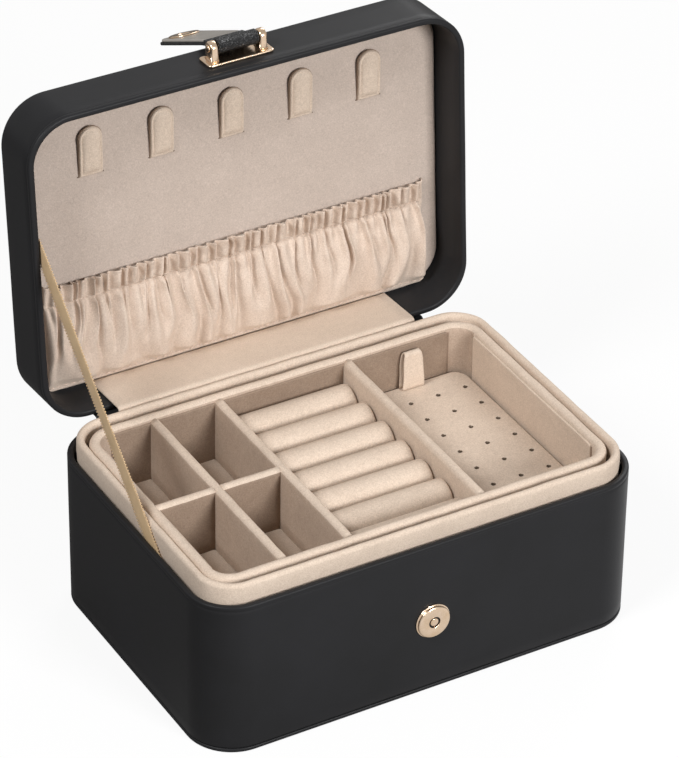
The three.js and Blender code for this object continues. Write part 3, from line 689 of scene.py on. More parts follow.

# %% [markdown]
# ## The necklace tabs
# Each tab is two layers of velvet, sewn together close to the edge and turned, with a round end
# towards the lid's front and its straight end sewn into a slit of the panel. It is stiff, so the
# round end stands a little proud of the panel and throws a shadow there. Cross-sections along its
# length give the flat seam margin and the fuller middle. The turned edge of the lower layer
# reaches a hair further, in a dark velvet that is painted shade, and shows as a fine dark line
# round the tab.


# %% Sew five tabs
TABS, TAB_R, TAB_LENGTH, TAB_Y, TAB_PITCH = 5, 4.2, 17.6, 13.4 - BOX_D / 2, 25.7
SLIT_LENGTH, SLIT_WIDTH = 9.6, 0.5
FROM_EDGE = [0.0, 0.07, 0.22, 0.45, 0.72, 0.88, 1.02, 1.3, 1.8, 2.5, 3.4, TAB_R]


def tab_height(from_edge):
    """How far the upper cloth stands off the panel, by the distance from the tab's edge."""
    return np.interp(from_edge, [0, 0.07, 0.22, 0.45, 0.72, 0.88, 1.02, 1.3, 1.8, 2.5, TAB_R],
                     [0.5, 0.95, 1.3, 1.38, 1.22, 1.08, 1.18, 1.5, 1.74, 1.88, 2.0])


def tab_lift(y):
    """How far a tab's underside stands off the panel, and how firmly it is sewn, at length y."""
    sewn = min(max((y / TAB_LENGTH - 0.7) / 0.3, 0), 1)
    return 0.9 * max(1 - 1.15 * y / TAB_LENGTH, 0) ** 1.4 + 0.45 * (1 - sewn ** 3), sewn


def tab_rings():
    """Cross-sections of a tab from its round end to its straight one."""
    rings = []
    lengths = [0.01, *FROM_EDGE[1:], *np.linspace(TAB_R, TAB_LENGTH - 1.0, 15)[1:]]
    lengths += [TAB_LENGTH - d for d in (0.7, 0.45, 0.22, 0.08, 0.0)]
    for y in lengths:
        half_width = math.sqrt(TAB_R ** 2 - max(TAB_R - y, 0) ** 2)
        xs = [-half_width * (1 - d / TAB_R) for d in FROM_EDGE]
        xs += [-x for x in reversed(xs[:-1])]
        away = [min(TAB_R - math.hypot(x, max(TAB_R - y, 0)), TAB_LENGTH - y + 0.1) for x in xs]
        lifted, sewn = tab_lift(y)
        top = [lifted + float(tab_height(d)) * (1 - 0.25 * sewn ** 2) for d in away]
        upper = [(x, y, -t) for x, t in zip(xs, top)]
        lower = [(x * 0.98, y, -lifted - 0.2 * (1 - sewn)) for x in xs[1:-1]]
        rings.append(np.array(upper + lower[::-1]))
    return rings


def turned_edge_rings(past=0.17):
    """Cross-sections of the lower cloth's turned edge; its dark velvet is painted shade, a fine
    line round a tab.
    """
    rings = []
    lengths = (*np.linspace(0.01 - past, TAB_R, 16),
               *np.linspace(TAB_R, TAB_LENGTH + past, 12)[1:])
    for y in lengths:
        half_width = math.sqrt((TAB_R + past) ** 2 - max(TAB_R - y, 0) ** 2)
        low = -tab_lift(max(y, 0))[0]
        rings.append(np.array([(-half_width, y, low - 0.32), (half_width, y, low - 0.32),
                               (half_width, y, low + 0.1), (-half_width, y, low + 0.1)]))
    return rings


# The dark edge under each tab is painted shade.
for number in range(TABS):
    for name, rings, finish in ((f"velvet_tab_{number + 1}", tab_rings(), VELVET),
                                (f"tab_turned_edge_{number + 1}", turned_edge_rings(), SEAM_SHADE_VELVET)):
        points, faces = stack(rings)
        points += np.array([(number - 2) * TAB_PITCH, TAB_Y, PANEL_Z + 0.12])
        tab = add_piece(name, place_mesh(soften(points, 5.0, 0.08), OPEN), faces, finish,
                        smooth=finish is VELVET)
        if finish is VELVET:
            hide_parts(f"necklace_tab_{number + 1}")
        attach(tab, "lid")
# The slits are dark velvet, painted shade in the openings.
slit_shapes = []
for number in range(TABS):
    points, faces = rounded_stack(SLIT_LENGTH, SLIT_WIDTH, 0.2, board_section(0.3, 0.1, 2, 0.05),
                                  steps=2, along=(4, 1))
    points += np.array([(number - 2) * TAB_PITCH, TAB_Y + TAB_LENGTH + 0.12, PANEL_Z - 0.16])
    slit_shapes.append((points, faces))
points, faces = joined(slit_shapes)
slits = add_piece("panel_slits", place_mesh(points, OPEN), faces, PIERCED)
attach(slits, "lid")
print(TABS, "tabs at a pitch of", TAB_PITCH, "mm")

# %% [markdown]
# ## The gathered pocket
# The pocket is a strip of soft brushed cloth, cut half as long again as it ends up. An elastic
# runs in a casing below its mouth and gathers it: above the stitched line the cloth stands in
# a tight ruffle, and below it the same pleats run on, lose their sharpness, join in pairs and
# fan out into a few broad folds, before they are sewn flat along the bottom. A simulation of
# so many small pleats is slow and hard to steer, so the cloth is a fine grid, moved by a
# height that adds a few trains of pleats of uneven width.

# %% Gather the cloth
POCKET_W, POCKET_FOOT, POCKET_H = 143.0, BOX_D / 2 - 3.6, 38.8
STITCH_LINE = 0.825
columns, rows = 490, 96


def uneven_phase(share, pitch, seed, spread):
    """A phase that grows by a turn per pleat, with pleats of uneven width."""
    local = np.random.default_rng(seed)
    count = int(POCKET_W / pitch)
    widths = local.uniform(1 - spread, 1 + spread, count)
    knots = np.concatenate([[0], np.cumsum(widths)]) / widths.sum()
    return np.interp(share, knots, np.arange(count + 1)) * math.tau


def smooth_step(value, start, end):
    """0 before the start, 1 after the end, and a soft climb between them."""
    t = np.clip((value - start) / (end - start), 0, 1)
    return t * t * (3 - 2 * t)


def crest(wave, sharp):
    """The height of a pleat, from 0 to 1; a power below 1 makes its crest broad."""
    return (0.5 + 0.5 * wave) ** sharp


def noise_sheet(waves_u, waves_v, layer, count_u, count_v):
    """Smooth noise over the cloth, taken at a few points and spread over the fine grid."""
    at_u, at_v = np.linspace(0, 1, count_u), np.linspace(0, 1, count_v)
    sheet = np.array([[noise.noise(Vector((u * waves_u, v * waves_v, layer))) for u in at_u]
                      for v in at_v])
    sheet = np.array([np.interp(np.linspace(0, 1, columns), at_u, row) for row in sheet])
    return np.array([np.interp(np.linspace(0, 1, rows), at_v, column) for column in sheet.T]).T


share_u, share_v = np.meshgrid(np.linspace(0, 1, columns), np.linspace(0, 1, rows))
below = np.clip((STITCH_LINE - share_v) / STITCH_LINE, 0, 1)
above = np.clip((share_v - STITCH_LINE) / (1 - STITCH_LINE), 0, 1)
wander = noise_sheet(9.0, 2.2, 3.7, 190, 38)
curl = noise_sheet(46.0, 9.0, 1.3, 380, 50)
drift = share_u + wander * (0.004 + 0.05 * below) + curl * (0.0015 + 0.006 * above)
ends = 1 - (2 * np.abs(share_u - 0.5)) ** 90
fine = np.cos(uneven_phase(drift, 3.1, 11, 0.35))
paired = np.cos(uneven_phase(drift, 5.3, 23, 0.4))
broad = np.cos(uneven_phase(drift, 10.5, 5, 0.45) + 1.2)
hem = smooth_step(share_v, 0.0, 0.12)
pinched = np.exp(-((share_v - STITCH_LINE) / 0.015) ** 2)
pleats = (2.3 * crest(fine, 0.7) * np.exp(-(below / 0.3) ** 1.6) * (1 + 0.5 * curl)
          + 2.6 * crest(paired, 0.7) * np.exp(-((below - 0.34) / 0.3) ** 2)
          + 2.8 * crest(broad, 0.8) * smooth_step(below, 0.3, 0.7))
ruffle = (1.3 + 0.9 * above) * 1.5 * crest(fine, 0.75) * (1 + 0.5 * curl) + 0.3 * above
puff = 2.6 * np.sin(math.pi * np.clip(share_v / 0.9, 0, 1)) ** 0.8
out = np.where(share_v > STITCH_LINE, 0.7 + ruffle,
               puff * (1 - 0.85 * (1 - below) ** 5) + 0.7 + pleats)
out = out * (1 - 0.45 * pinched)
out = (0.35 + (out - 0.35) * hem) * ends + 0.3 * (1 - ends)
scallop = 0.9 * crest(fine, 0.6) * smooth_step(share_v, 0.93, 1.0)
lean = 0.8 * np.sin(uneven_phase(drift, 6.4, 23, 0.4)) * np.exp(-((below - 0.2) / 0.3) ** 2)
place_x = (share_u - 0.5) * POCKET_W + lean
place_y = POCKET_FOOT - share_v * POCKET_H - scallop
place_z = PANEL_Z - 0.1 - out
points = np.column_stack([place_x.ravel(), place_y.ravel(), place_z.ravel()])
faces = [(r * columns + c + 1, (r + 1) * columns + c + 1, (r + 1) * columns + c, r * columns + c)
         for r in range(rows - 1) for c in range(columns - 1)]
pocket = add_piece("gathered_pocket", place_mesh(points, OPEN), faces, POCKET_CLOTH,
                   closed=False)
thick = pocket.modifiers.new("cloth_thickness", "SOLIDIFY")
thick.thickness, thick.offset = 0.35 * MM, -1.0
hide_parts("lid_pocket")
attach(pocket, "lid")

# %% [markdown]
# ## Pieces that repeat along a line
# Stitches, the loops along the ribbon and the ring rolls are each one small shape, repeated at
# an even spacing. Geometry Nodes do that well: a line becomes points at a spacing, a copy of
# the shape stands on each, and the copies are made real and given their material. The line
# and the shape change from piece to piece, and the tree stays the same.


# %% The tree that lays copies along a line
def build_laying_tree():
    """A tree that lays copies of an object along a line and gives them their finish."""
    tree = bpy.data.node_groups.new("lay_copies_along", "GeometryNodeTree")
    face = tree.interface
    face.new_socket("Line", in_out="INPUT", socket_type="NodeSocketGeometry")
    for name, kind in (("Spacing", "NodeSocketFloat"), ("Copy", "NodeSocketObject"),
                       ("Finish", "NodeSocketMaterial"), ("Uneven", "NodeSocketFloat"),
                       ("Seed", "NodeSocketInt"), ("Follow", "NodeSocketBool")):
        face.new_socket(name, in_out="INPUT", socket_type=kind)
    face.new_socket("Copies", in_out="OUTPUT", socket_type="NodeSocketGeometry")
    given = add_node(tree, "NodeGroupInput").outputs
    line = add_node(tree, "GeometryNodeMeshToCurve", links={"Mesh": given["Line"]})
    spots = add_node(tree, "GeometryNodeCurveToPoints",
                     links={"Curve": line.outputs["Curve"], "Length": given["Spacing"]},
                     mode="LENGTH")
    shape = add_node(tree, "GeometryNodeObjectInfo", links={"Object": given["Copy"]})
    low = add_node(tree, "ShaderNodeMath", {0: 1.0}, {1: given["Uneven"]}, operation="SUBTRACT")
    high = add_node(tree, "ShaderNodeMath", {0: 1.0}, {1: given["Uneven"]}, operation="ADD")
    size = add_node(tree, "FunctionNodeRandomValue", data_type="FLOAT")
    tree.links.new(low.outputs[0], size.inputs[2])
    tree.links.new(high.outputs[0], size.inputs[3])
    tree.links.new(given["Seed"], size.inputs["Seed"])
    turned = add_node(tree, "GeometryNodeSwitch", links={
        "Switch": given["Follow"], "True": spots.outputs["Rotation"]}, input_type="ROTATION")
    copies = add_node(tree, "GeometryNodeInstanceOnPoints", links={
        "Points": spots.outputs["Points"], "Instance": shape.outputs["Geometry"],
        "Rotation": turned.outputs[0], "Scale": size.outputs[1]})
    real = add_node(tree, "GeometryNodeRealizeInstances", links={
        "Geometry": copies.outputs["Instances"]})
    finished = add_node(tree, "GeometryNodeSetMaterial", links={
        "Geometry": real.outputs["Geometry"], "Material": given["Finish"]})
    add_node(tree, "NodeGroupOutput", links={"Copies": finished.outputs["Geometry"]})
    return tree


LAYING = build_laying_tree()


def lay_copies(name, line, spacing, copy, finish, uneven=0.0, seed=1, follow=True):
    """Copies of an object along a line of points in metres, as one plain mesh."""
    data = bpy.data.meshes.new(name + "_line")
    data.from_pydata([tuple(map(float, p)) for p in line],
                     [(i, i + 1) for i in range(len(line) - 1)], [])
    host = bpy.data.objects.new(name, data)
    bpy.context.scene.collection.objects.link(host)
    live = host.modifiers.new("laying", "NODES")
    live.node_group = LAYING
    inputs = {item.name: item.identifier for item in LAYING.interface.items_tree
              if item.in_out == "INPUT"}
    for key, value in (("Spacing", spacing * MM), ("Copy", copy), ("Finish", finish),
                       ("Uneven", uneven), ("Seed", seed), ("Follow", follow)):
        live[inputs[key]] = value
    view = bpy.context.evaluated_depsgraph_get()
    made = bpy.data.meshes.new_from_object(host.evaluated_get(view))
    host.modifiers.remove(live)
    host.data = made
    made.name = name
    made.shade_smooth()
    return host


def small_shape(name, points, faces):
    """A shape to copy; it is taken out of the scene once it has been used."""
    data = bpy.data.meshes.new(name)
    data.from_pydata([tuple(map(float, p)) for p in points], [], facing_out(points, faces))
    made = bpy.data.objects.new(name, data)
    bpy.context.scene.collection.objects.link(made)
    return made


def stitch_shape(name, length, thickness, sides=6):
    """One stitch: a thread that dips at both ends, along Z; sizes in mm."""
    rings = []
    for along, share in ((-0.5, 0.35), (-0.3, 0.95), (0.0, 1.0), (0.3, 0.95), (0.5, 0.35)):
        turns = np.linspace(0, math.tau, sides, endpoint=False)
        rings.append(np.column_stack([thickness / 2 * share * np.cos(turns),
                                      thickness / 2 * share * np.sin(turns),
                                      np.full(sides, along * length)]) * MM)
    return small_shape(name, *stack(rings))


print("The laying tree has", len(LAYING.nodes), "nodes")

# %% Stitches of the pocket
stitch = stitch_shape("one_stitch", 1.7, 0.34)
row_at = int(STITCH_LINE * (rows - 1))
grid = place_mesh(np.column_stack([place_x.ravel(), place_y.ravel(), place_z.ravel() - 0.12]),
                  OPEN).reshape(rows, columns, 3)
seam = lay_copies("pocket_stitches_at_elastic", grid[row_at, 4:-4:3], 2.3, stitch, POCKET_CLOTH,
                  0.1, 3)
foot = lay_copies("pocket_stitches_at_foot", grid[3, 4:-4:3], 2.6, stitch, POCKET_CLOTH,
                  0.1, 4)
for piece in (seam, foot):
    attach(piece, "lid")
ELASTIC_Y, ELASTIC_L, ELASTIC_W, ELASTIC_T = BOX_D / 2 - 39.3, 133.0, 4.2, 0.6
RIBS = 90
rib_x = np.linspace(-ELASTIC_L / 2, ELASTIC_L / 2, RIBS)
rib_z = PANEL_Z - 0.35 + 0.06 * np.cos(np.arange(RIBS) * math.pi)
low_y, high_y = ELASTIC_Y - ELASTIC_W / 2, ELASTIC_Y + ELASTIC_W / 2
rings = [np.array([(x, low_y, z), (x, high_y, z), (x, high_y, z - ELASTIC_T),
                   (x, low_y, z - ELASTIC_T)]) for x, z in zip(rib_x, rib_z)]
points, faces = stack(rings)
band = add_piece("pocket_elastic_band", place_mesh(points, OPEN), faces, ELASTIC,
                 flat_map=points[:, :2] * MM)
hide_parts("pocket_elastic")
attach(band, "lid")
print("Pocket stitches:", len(seam.data.polygons) + len(foot.data.polygons), "faces")

# %% [markdown]
# ## The hinge
# The lid has no metal hinge. A strip of the same leather bends outside, and a strip of velvet
# covers the joint inside, from behind the collar to the edge of the lid's panel. Both are thin
# bands that follow a bent line.



# %% Bands along a bent line
def across_line(line):
    """The unit vector at right angles to a line of (y, z) points, at each of them."""
    tangent = np.gradient(line, axis=0)
    tangent /= np.linalg.norm(tangent, axis=1)[:, None]
    return np.column_stack([-tangent[:, 1], tangent[:, 0]])


def length_so_far(line):
    """The length of a line up to each of its points."""
    return np.concatenate([[0], np.cumsum(np.linalg.norm(np.diff(line, axis=0), axis=1))])


def band_piece(name, line, width, thickness, finish, edge=0.12, across=24):
    """A flat band of that width along X, which follows a line of (y, z) points in mm."""
    line = np.array(line, float)
    xs = np.linspace(-width / 2 + edge, width / 2 - edge, across)
    profile = ([(-width / 2, 0)] + [(x, -thickness / 2) for x in xs] + [(width / 2, 0)]
               + [(x, thickness / 2) for x in xs[::-1]])
    rings, flat_map = [], []
    for (y, z), n, s in zip(line, across_line(line), length_so_far(line)):
        rings.append(np.array([(x, y + n[0] * t, z + n[1] * t) for x, t in profile]))
        flat_map += [(x, s) for x, _ in profile]
    points, faces = stack(rings)
    return add_piece(name, place_mesh(points), faces, finish,
                     flat_map=np.array(flat_map) * MM)


def opened(y, z):
    """Where a point (y, z) of the shut lid, in mm, lies with the lid open."""
    place = OPEN @ Vector((0, y * MM, z * MM))
    return place.y / MM, place.z / MM


def turned_line(y, z, radius, slope, steps=10):
    """A bend from going up, at (y, z), to going back along a slope."""
    turns = np.linspace(0, math.pi / 2 + slope, steps + 1)
    return [(y + radius * (1 - math.cos(t)), z + radius * math.sin(t)) for t in turns]


def filled(line, step=0.9):
    """More points along a line, so that a bend stays smooth."""
    line = np.array(line)
    length = length_so_far(line)
    at = np.linspace(0, length[-1], int(length[-1] / step) + 1)
    return np.column_stack([np.interp(at, length, line[:, k]) for k in (0, 1)])


slope = -open_turn - math.pi / 2
spine_y = BOX_D / 2 + 0.7
start = opened(spine_y, LID_Z)
under = start[1] - (spine_y + 2.6 - start[0]) * math.tan(slope)
spine_line = filled([(spine_y, RIM - 14), *turned_line(spine_y, under - 2.6, 2.6, slope),
                     opened(spine_y, LID_Z + 12)])
spine = band_piece("hinge_leather_spine", spine_line, 124.0, 0.8, LEATHER_STRIP)
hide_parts("hinge_spine")

strip_y = BOX_D / 2 - LINER_IN + 0.7
inner = BOX_D / 2 - WALL_T
start = opened(inner - 0.7, LID_Z)
top = start[1] - (strip_y + 1.3 - start[0]) * math.tan(slope)
strip_line = filled([(strip_y, RIM + 0.3), *turned_line(strip_y, top - 1.3, 1.3, slope),
                     opened(inner - 0.7, PANEL_Z - 0.3)], 0.7)
strip = band_piece("hinge_velvet_strip", strip_line, 112.0, 0.8, VELVET_STRIP)
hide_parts("hinge_lining")
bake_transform(spine)
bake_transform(strip)
print("Hinge strips:", len(spine_line), "and", len(strip_line), "rings")

# %% [markdown]
# ## The ribbon
# A satin ribbon, 6.6 mm wide, stops the lid from falling back. It runs from a slit inside the
# lid's left wall to the gap beside the collar, pulled straight. Both its edges have a row of
# tiny woven loops. It is a thin strip with threads along its length, and the loops are laid
# along its two edges.

# %% Weave the ribbon
RIBBON_FOOT_Y, RIBBON_HEAD_Y = 44.7 - BOX_D / 2, 47.0 - BOX_D / 2
HIDDEN_FOOT, HIDDEN_HEAD, RIBBON_L = 9, 5, 112
RIBBON_SECTION = ((-1, 0), (-0.85, -1), (-0.3, -1.1), (0.3, -1.1), (0.85, -1), (1, 0),
                  (0.85, 1), (0.3, 1.1), (-0.3, 1.1), (-0.85, 1))
low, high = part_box("ribbon_stay")
ribbon_x = (low.x + high.x) / 2
foot_mid = Vector((ribbon_x, RIBBON_FOOT_Y * MM, RIM * MM))
head_y, head_z = opened(RIBBON_HEAD_Y, LID_Z)
head_mid = Vector((ribbon_x, head_y * MM, head_z * MM))
along = (head_mid - foot_mid).normalized()
foot_mid, head_mid = foot_mid - along * HIDDEN_FOOT * MM, head_mid + along * HIDDEN_HEAD * MM
side = Vector((0, -along.z, along.y))
rows_r, half_w = 90, 3.3
points, flat_map = [], []
for k in range(rows_r + 1):
    share = k / rows_r
    middle = foot_mid.lerp(head_mid, share)
    sag = 0.25 * math.sin(math.pi * share)
    twist = 0.12 * math.sin(3 * math.pi * share)
    for w, t in RIBBON_SECTION:
        out = (t * 0.14 + twist * w + sag * 0.3) * MM
        offset = side * (w * half_w * MM) + Vector((1, 0, 0)) * out
        points.append(middle + offset)
        flat_map.append((w * half_w, share * RIBBON_L))
count = len(RIBBON_SECTION)
faces = [(k * count + i, k * count + (i + 1) % count, (k + 1) * count + (i + 1) % count,
          (k + 1) * count + i) for k in range(rows_r) for i in range(count)]
faces += [tuple(reversed(range(count))), tuple(range(rows_r * count, rows_r * count + count))]
ribbon = add_piece("satin_ribbon", points, faces, SATIN, flat_map=np.array(flat_map) * MM)
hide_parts("ribbon_stay")
loop = stitch_shape("one_loop", 0.6, 0.55, 5)
edges = []
for sign, word in ((-1, "front"), (1, "back")):
    line = [foot_mid.lerp(head_mid, k / 60) + side * (sign * (half_w + 0.16) * MM)
            + Vector((1, 0, 0)) * ((0.075 * math.sin(math.pi * k / 60)
                                    + sign * 0.12 * math.sin(3 * math.pi * k / 60)) * MM)
            for k in range(61)]
    edges.append(lay_copies(f"ribbon_loops_{word}", line, 1.0, loop, SATIN, 0.06, 9))
for piece in (ribbon, *edges):
    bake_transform(piece)
print("Ribbon:", round((head_mid - foot_mid).length / MM, 1), "mm with its ends")

# %% [markdown]
# ## The strap and its bracket
# A cast gold bracket on the lid's front wall has a plate and two ears with a pin between them.
# The strap wraps round the pin and is sewn to itself, and its tail is thrown back over the open
# lid. The strap is drawn along its own length from the pin, hanging straight, and then turned
# into its place, with the same two turns that the solids have.


# %% Cast the bracket
def extruded(outline, width, edge, steps=3):
    """An outline of (y, z) points carried along X, with rounded edges; it is drawn in there."""
    outline = np.array(outline, float)
    before, after = np.roll(outline, 1, 0), np.roll(outline, -1, 0)
    tangent = after - before
    tangent /= np.linalg.norm(tangent, axis=1)[:, None]
    inward = np.column_stack([-tangent[:, 1], tangent[:, 0]])
    rings = []
    levels = [(edge * (1 - math.sin(a)), -width / 2 + edge * (1 - math.cos(a)))
              for a in np.linspace(0, math.pi / 2, steps + 1)]
    levels += [(inset, -x) for inset, x in reversed(levels)]
    for inset, x in levels:
        drawn = outline + inward * inset
        rings.append(np.column_stack([np.full(len(drawn), x), drawn]))
    return stack(rings)


PIN_Y, PIN_Z = -60.3, LID_Z + 0.44 * LID_H
PLATE_W, PLATE_H, EAR_T, EAR_X = 24.0, 8.0, 2.7, 8.9
PIN_HALF, PIN_END_X = 9.5, 10.2
plate_points, plate_faces = rounded_stack(PLATE_W, PLATE_H, 1.3,
                                          board_section(1.0, 0.35, 4, 0.15), steps=6,
                                          along=(8, 3))
plate = add_piece("bracket_plate", place_mesh(
    facing_front(plate_points) + np.array([0, -BOX_D / 2 - 0.05, PIN_Z]), OPEN), plate_faces,
    GOLD)
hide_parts("strap_bracket")
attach(plate, "lid")
ear_turns = np.radians(np.linspace(-90, -270, 19))
ear_outline = [(-BOX_D / 2 - 0.6, PIN_Z - 2.7), (-BOX_D / 2 - 1.6, PIN_Z - 2.5)]
ear_outline += [(PIN_Y + 2.3 * math.cos(t), PIN_Z + 2.45 * math.sin(t)) for t in ear_turns]
ear_outline += [(-BOX_D / 2 - 1.6, PIN_Z + 2.5), (-BOX_D / 2 - 0.6, PIN_Z + 2.7)]
for sign, word in ((-1, "left"), (1, "right")):
    points, faces = extruded(ear_outline[::-1], EAR_T, 0.8, 5)
    points[:, 0] += sign * EAR_X
    ear = add_piece(f"bracket_ear_{word}", place_mesh(points, OPEN), faces, GOLD)
    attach(ear, "lid")
    cap_points, cap_faces = spun([(0, 0), (1.15, 0), (1.25, 0.12), (1.2, 0.35), (0.9, 0.5),
                                  (0, 0.55)], 32)
    cap_points = np.column_stack([sign * (cap_points[:, 2] + PIN_END_X),
                                  sign * cap_points[:, 0], cap_points[:, 1]])
    rivet = add_piece(f"bracket_pin_end_{word}", place_mesh(
        cap_points + np.array([0, PIN_Y, PIN_Z]), OPEN), cap_faces, GOLD)
    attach(rivet, "lid")
pin_points, pin_faces = spun([(0, -PIN_HALF), (0.95, -PIN_HALF), (0.95, PIN_HALF),
                              (0, PIN_HALF)], 40)
pin = add_piece("bracket_pin", place_mesh(np.column_stack(
    [pin_points[:, 2], pin_points[:, 0], pin_points[:, 1]]) + np.array([0, PIN_Y, PIN_Z]), OPEN),
    pin_faces, GOLD, smooth=False)
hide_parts("strap_pin")
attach(pin, "lid")
print("The bracket's pin lies", round(-PIN_Y - BOX_D / 2, 1), "mm from the lid's wall")

# %% The strap's place
strap_pin = Vector((0, PIN_Y * MM, PIN_Z * MM))
STRAP_TURN = math.radians(-22.5)
STRAP = OPEN @ Matrix.Translation(strap_pin) @ Matrix.Rotation(STRAP_TURN, 4, "X")
STRAP_W, STRAP_L, SNAP_AT = 14.4, PIN_Z - SNAP_Z + 6.6, PIN_Z - SNAP_Z
PLY, SAG, LOOP_R = 1.0, 1.3, 2.0


def drawn_in(s):
    """How far the strap's middle line has drawn in towards the lid's wall at that length."""
    return -SAG * smooth_step(np.asarray(s, float), 0, 12)


def ply_line(lengths, side):
    """The middle line of one ply: apart near the loop, and pressed together further down."""
    return [(float(side * (PLY / 2 + (LOOP_R - PLY) * (1 - smooth_step(s, 0.8, 7.0)))
                   + drawn_in(s)), s) for s in lengths]


def long_band(line, half_widths, thickness, edge=0.22, across=16):
    """Sections of a flat band that follows a line of (y, z) points, with square edges."""
    line = np.array(line, float)
    rings = []
    for (y, z), n, w in zip(line, across_line(line), half_widths):
        xs = np.linspace(-w + min(edge, w / 2), w - min(edge, w / 2), across)
        half_t = thickness / 2
        section = [(-w, -half_t * 0.55), *[(x, -half_t) for x in xs], (w, -half_t * 0.55),
                   (w, half_t * 0.55), *[(x, half_t) for x in xs[::-1]], (-w, half_t * 0.55)]
        rings.append(np.array([(x, y + n[0] * t, z + n[1] * t) for x, t in section]))
    return rings


def rounded_end(s, radius=3.0):
    """The strap's half width at length s, with round corners at its tail."""
    t = min(max((s - STRAP_L + radius) / radius, 0), 1)
    return STRAP_W / 2 - radius + radius * math.sqrt(max(1 - t * t, 0.0))


def tail_lengths(start, reach, count):
    """Lengths that crowd towards the tail's end, so that its corners come out round."""
    return start + reach * np.sin(np.linspace(0.12, math.pi / 2 * 0.99, count))


# %% Sew the strap
back_s = np.linspace(9.0, 1.3, 16)
ahead_s = np.concatenate([np.linspace(1.3, 9.0, 16)[1:], np.linspace(9.0, STRAP_L - 3, 40)[1:],
                          tail_lengths(STRAP_L - 3, 3, 12)])
turns = np.radians(np.linspace(-212, 32, 34))
path = [*ply_line(back_s, -1), *[(LOOP_R * math.cos(t), LOOP_R * math.sin(t))
                                 for t in turns[1:-1]], *ply_line(ahead_s, 1)]
widths = [STRAP_W / 2] * (len(path) - len(ahead_s)) + [rounded_end(s) for s in ahead_s]
points, faces = stack(long_band(path, widths, PLY))
strap_top = add_piece("strap_leather_outside", place_mesh(points, STRAP), faces, PEBBLED)
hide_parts("strap_leather")
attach(strap_top, "strap")
lining_s = np.concatenate([np.linspace(9.2, STRAP_L - 3.2, 36),
                           tail_lengths(STRAP_L - 3.2, 2.6, 10)])
path = [(float(drawn_in(s)) - 0.42, s) for s in lining_s]
points, faces = stack(long_band(path, [rounded_end(s + 0.5) - 0.55 for s in lining_s], 0.84))
lining = add_piece("strap_glossy_lining", place_mesh(points, STRAP), faces, LINING)
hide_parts("strap_lining")
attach(lining, "strap")
thread = stitch_shape("one_strap_stitch", 1.5, 0.3)
for sign, word in ((-1, "left"), (1, "right")):
    line = [STRAP @ (Vector((sign * (STRAP_W / 2 - 1.3), float(drawn_in(s)) + PLY + 0.03, s)) * MM)
            for s in np.linspace(3.6, STRAP_L - 4.5, 50)]
    row = lay_copies(f"strap_stitches_{word}", line, 2.1, thread, PEBBLED, 0.05, 12)
    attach(row, "strap")
print("The strap is", round(STRAP_L, 1), "mm long from its pin")

# %% The strap's snap and rivet cap
back_face = -SAG - 0.85
snap_profile = [(0, 0), (5.1, 0), (5.2, 0.1), (5.2, 0.32), (5.1, 0.45), (4.85, 0.55), (2.3, 0.55),
                (2.05, 0.5), (1.95, 0.2), (0, 0.18)]
cap_profile = [(0, 0), (3.15, 0), (3.2, 0.08), (3.15, 0.28), (2.8, 0.5), (2.0, 0.68), (1.0, 0.78),
               (0, 0.8)]
points, faces = spun(snap_profile)
strap_disc = add_piece("strap_gold_snap", place_mesh(facing_front(points), STRAP,
                       (0, back_face, SNAP_AT)), faces, GOLD)
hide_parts("strap_snap")
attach(strap_disc, "strap")
points, faces = spun(cap_profile)
points = np.column_stack([-points[:, 0], points[:, 2], points[:, 1]])
rivet_cap = add_piece("strap_gold_cap", place_mesh(points, STRAP, (0, PLY - SAG, SNAP_AT)), faces,
                      GOLD)
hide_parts("strap_cap")
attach(rivet_cap, "strap")
print("The strap's snap lies", round(SNAP_AT, 1), "mm from the pin")

# %% [markdown]
# ## The tray
# The tray is a board box wrapped in velvet, so its rim is a full soft round and its bottom board
# shows as a fine groove. Inside, each side has a lining board of its own, which stops short of the
# round corner, so that two upright seams show in each corner. A narrow strip of dark velvet in
# each seam is painted crease shade, and the faces at the back that face the front are painted a
# shade darker, as painted shade.

# %% Walls and bottom of the tray
low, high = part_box("tray_bottom_board")
TRAY_Z = low.z / MM
TRAY_W, TRAY_D, TRAY_R, TRAY_H, TRAY_WALL = 147.2, 94.0, 10.0, 30.0, 3.8
top_r = TRAY_WALL / 2
tray_round = [(top_r - c, TRAY_H - top_r + s) for c, s in quarter(top_r, 12, 0, 180)]
tray_section = [(TRAY_WALL, 2.75), (0.55, 2.75), (0.2, 2.85), (0.0, 3.3), (0.0, 8.0), (0.0, 16.0),
                (0.0, 24.0), *tray_round, (TRAY_WALL, 25.0), (TRAY_WALL, 16.0), (TRAY_WALL, 8.0)]
points, faces = rounded_stack(TRAY_W, TRAY_D, TRAY_R, tray_section, closed=True, steps=14,
                              along=(64, 42))
tray_walls = add_piece("tray_velvet_walls", place_mesh(soften(points, 8.0, 0.16),
                       move=(0, 0, TRAY_Z)), faces, VELVET)
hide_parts("tray_walls")
points, faces = rounded_stack(TRAY_W, TRAY_D, TRAY_R, board_section(2.45, 0.75, 5), steps=14,
                              along=(40, 26))
tray_board = add_piece("tray_velvet_underside", place_mesh(soften(points, 10.0, 0.08),
                       move=(0, 0, TRAY_Z)), faces, VELVET)
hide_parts("tray_bottom_board")
IN_W, IN_D = TRAY_W - 2 * TRAY_WALL, TRAY_D - 2 * TRAY_WALL
points, faces = rounded_stack(IN_W, IN_D, TRAY_R - TRAY_WALL, board_section(1.2, 0.3, 3),
                              along=(30, 20))
tray_floor = add_piece("tray_velvet_floor", place_mesh(soften(points, 10.0, 0.08),
                       move=(0, 0, TRAY_Z + 2.6)), faces, VELVET)
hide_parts("tray_floor_lining")
CORNER_REACH = 6.3
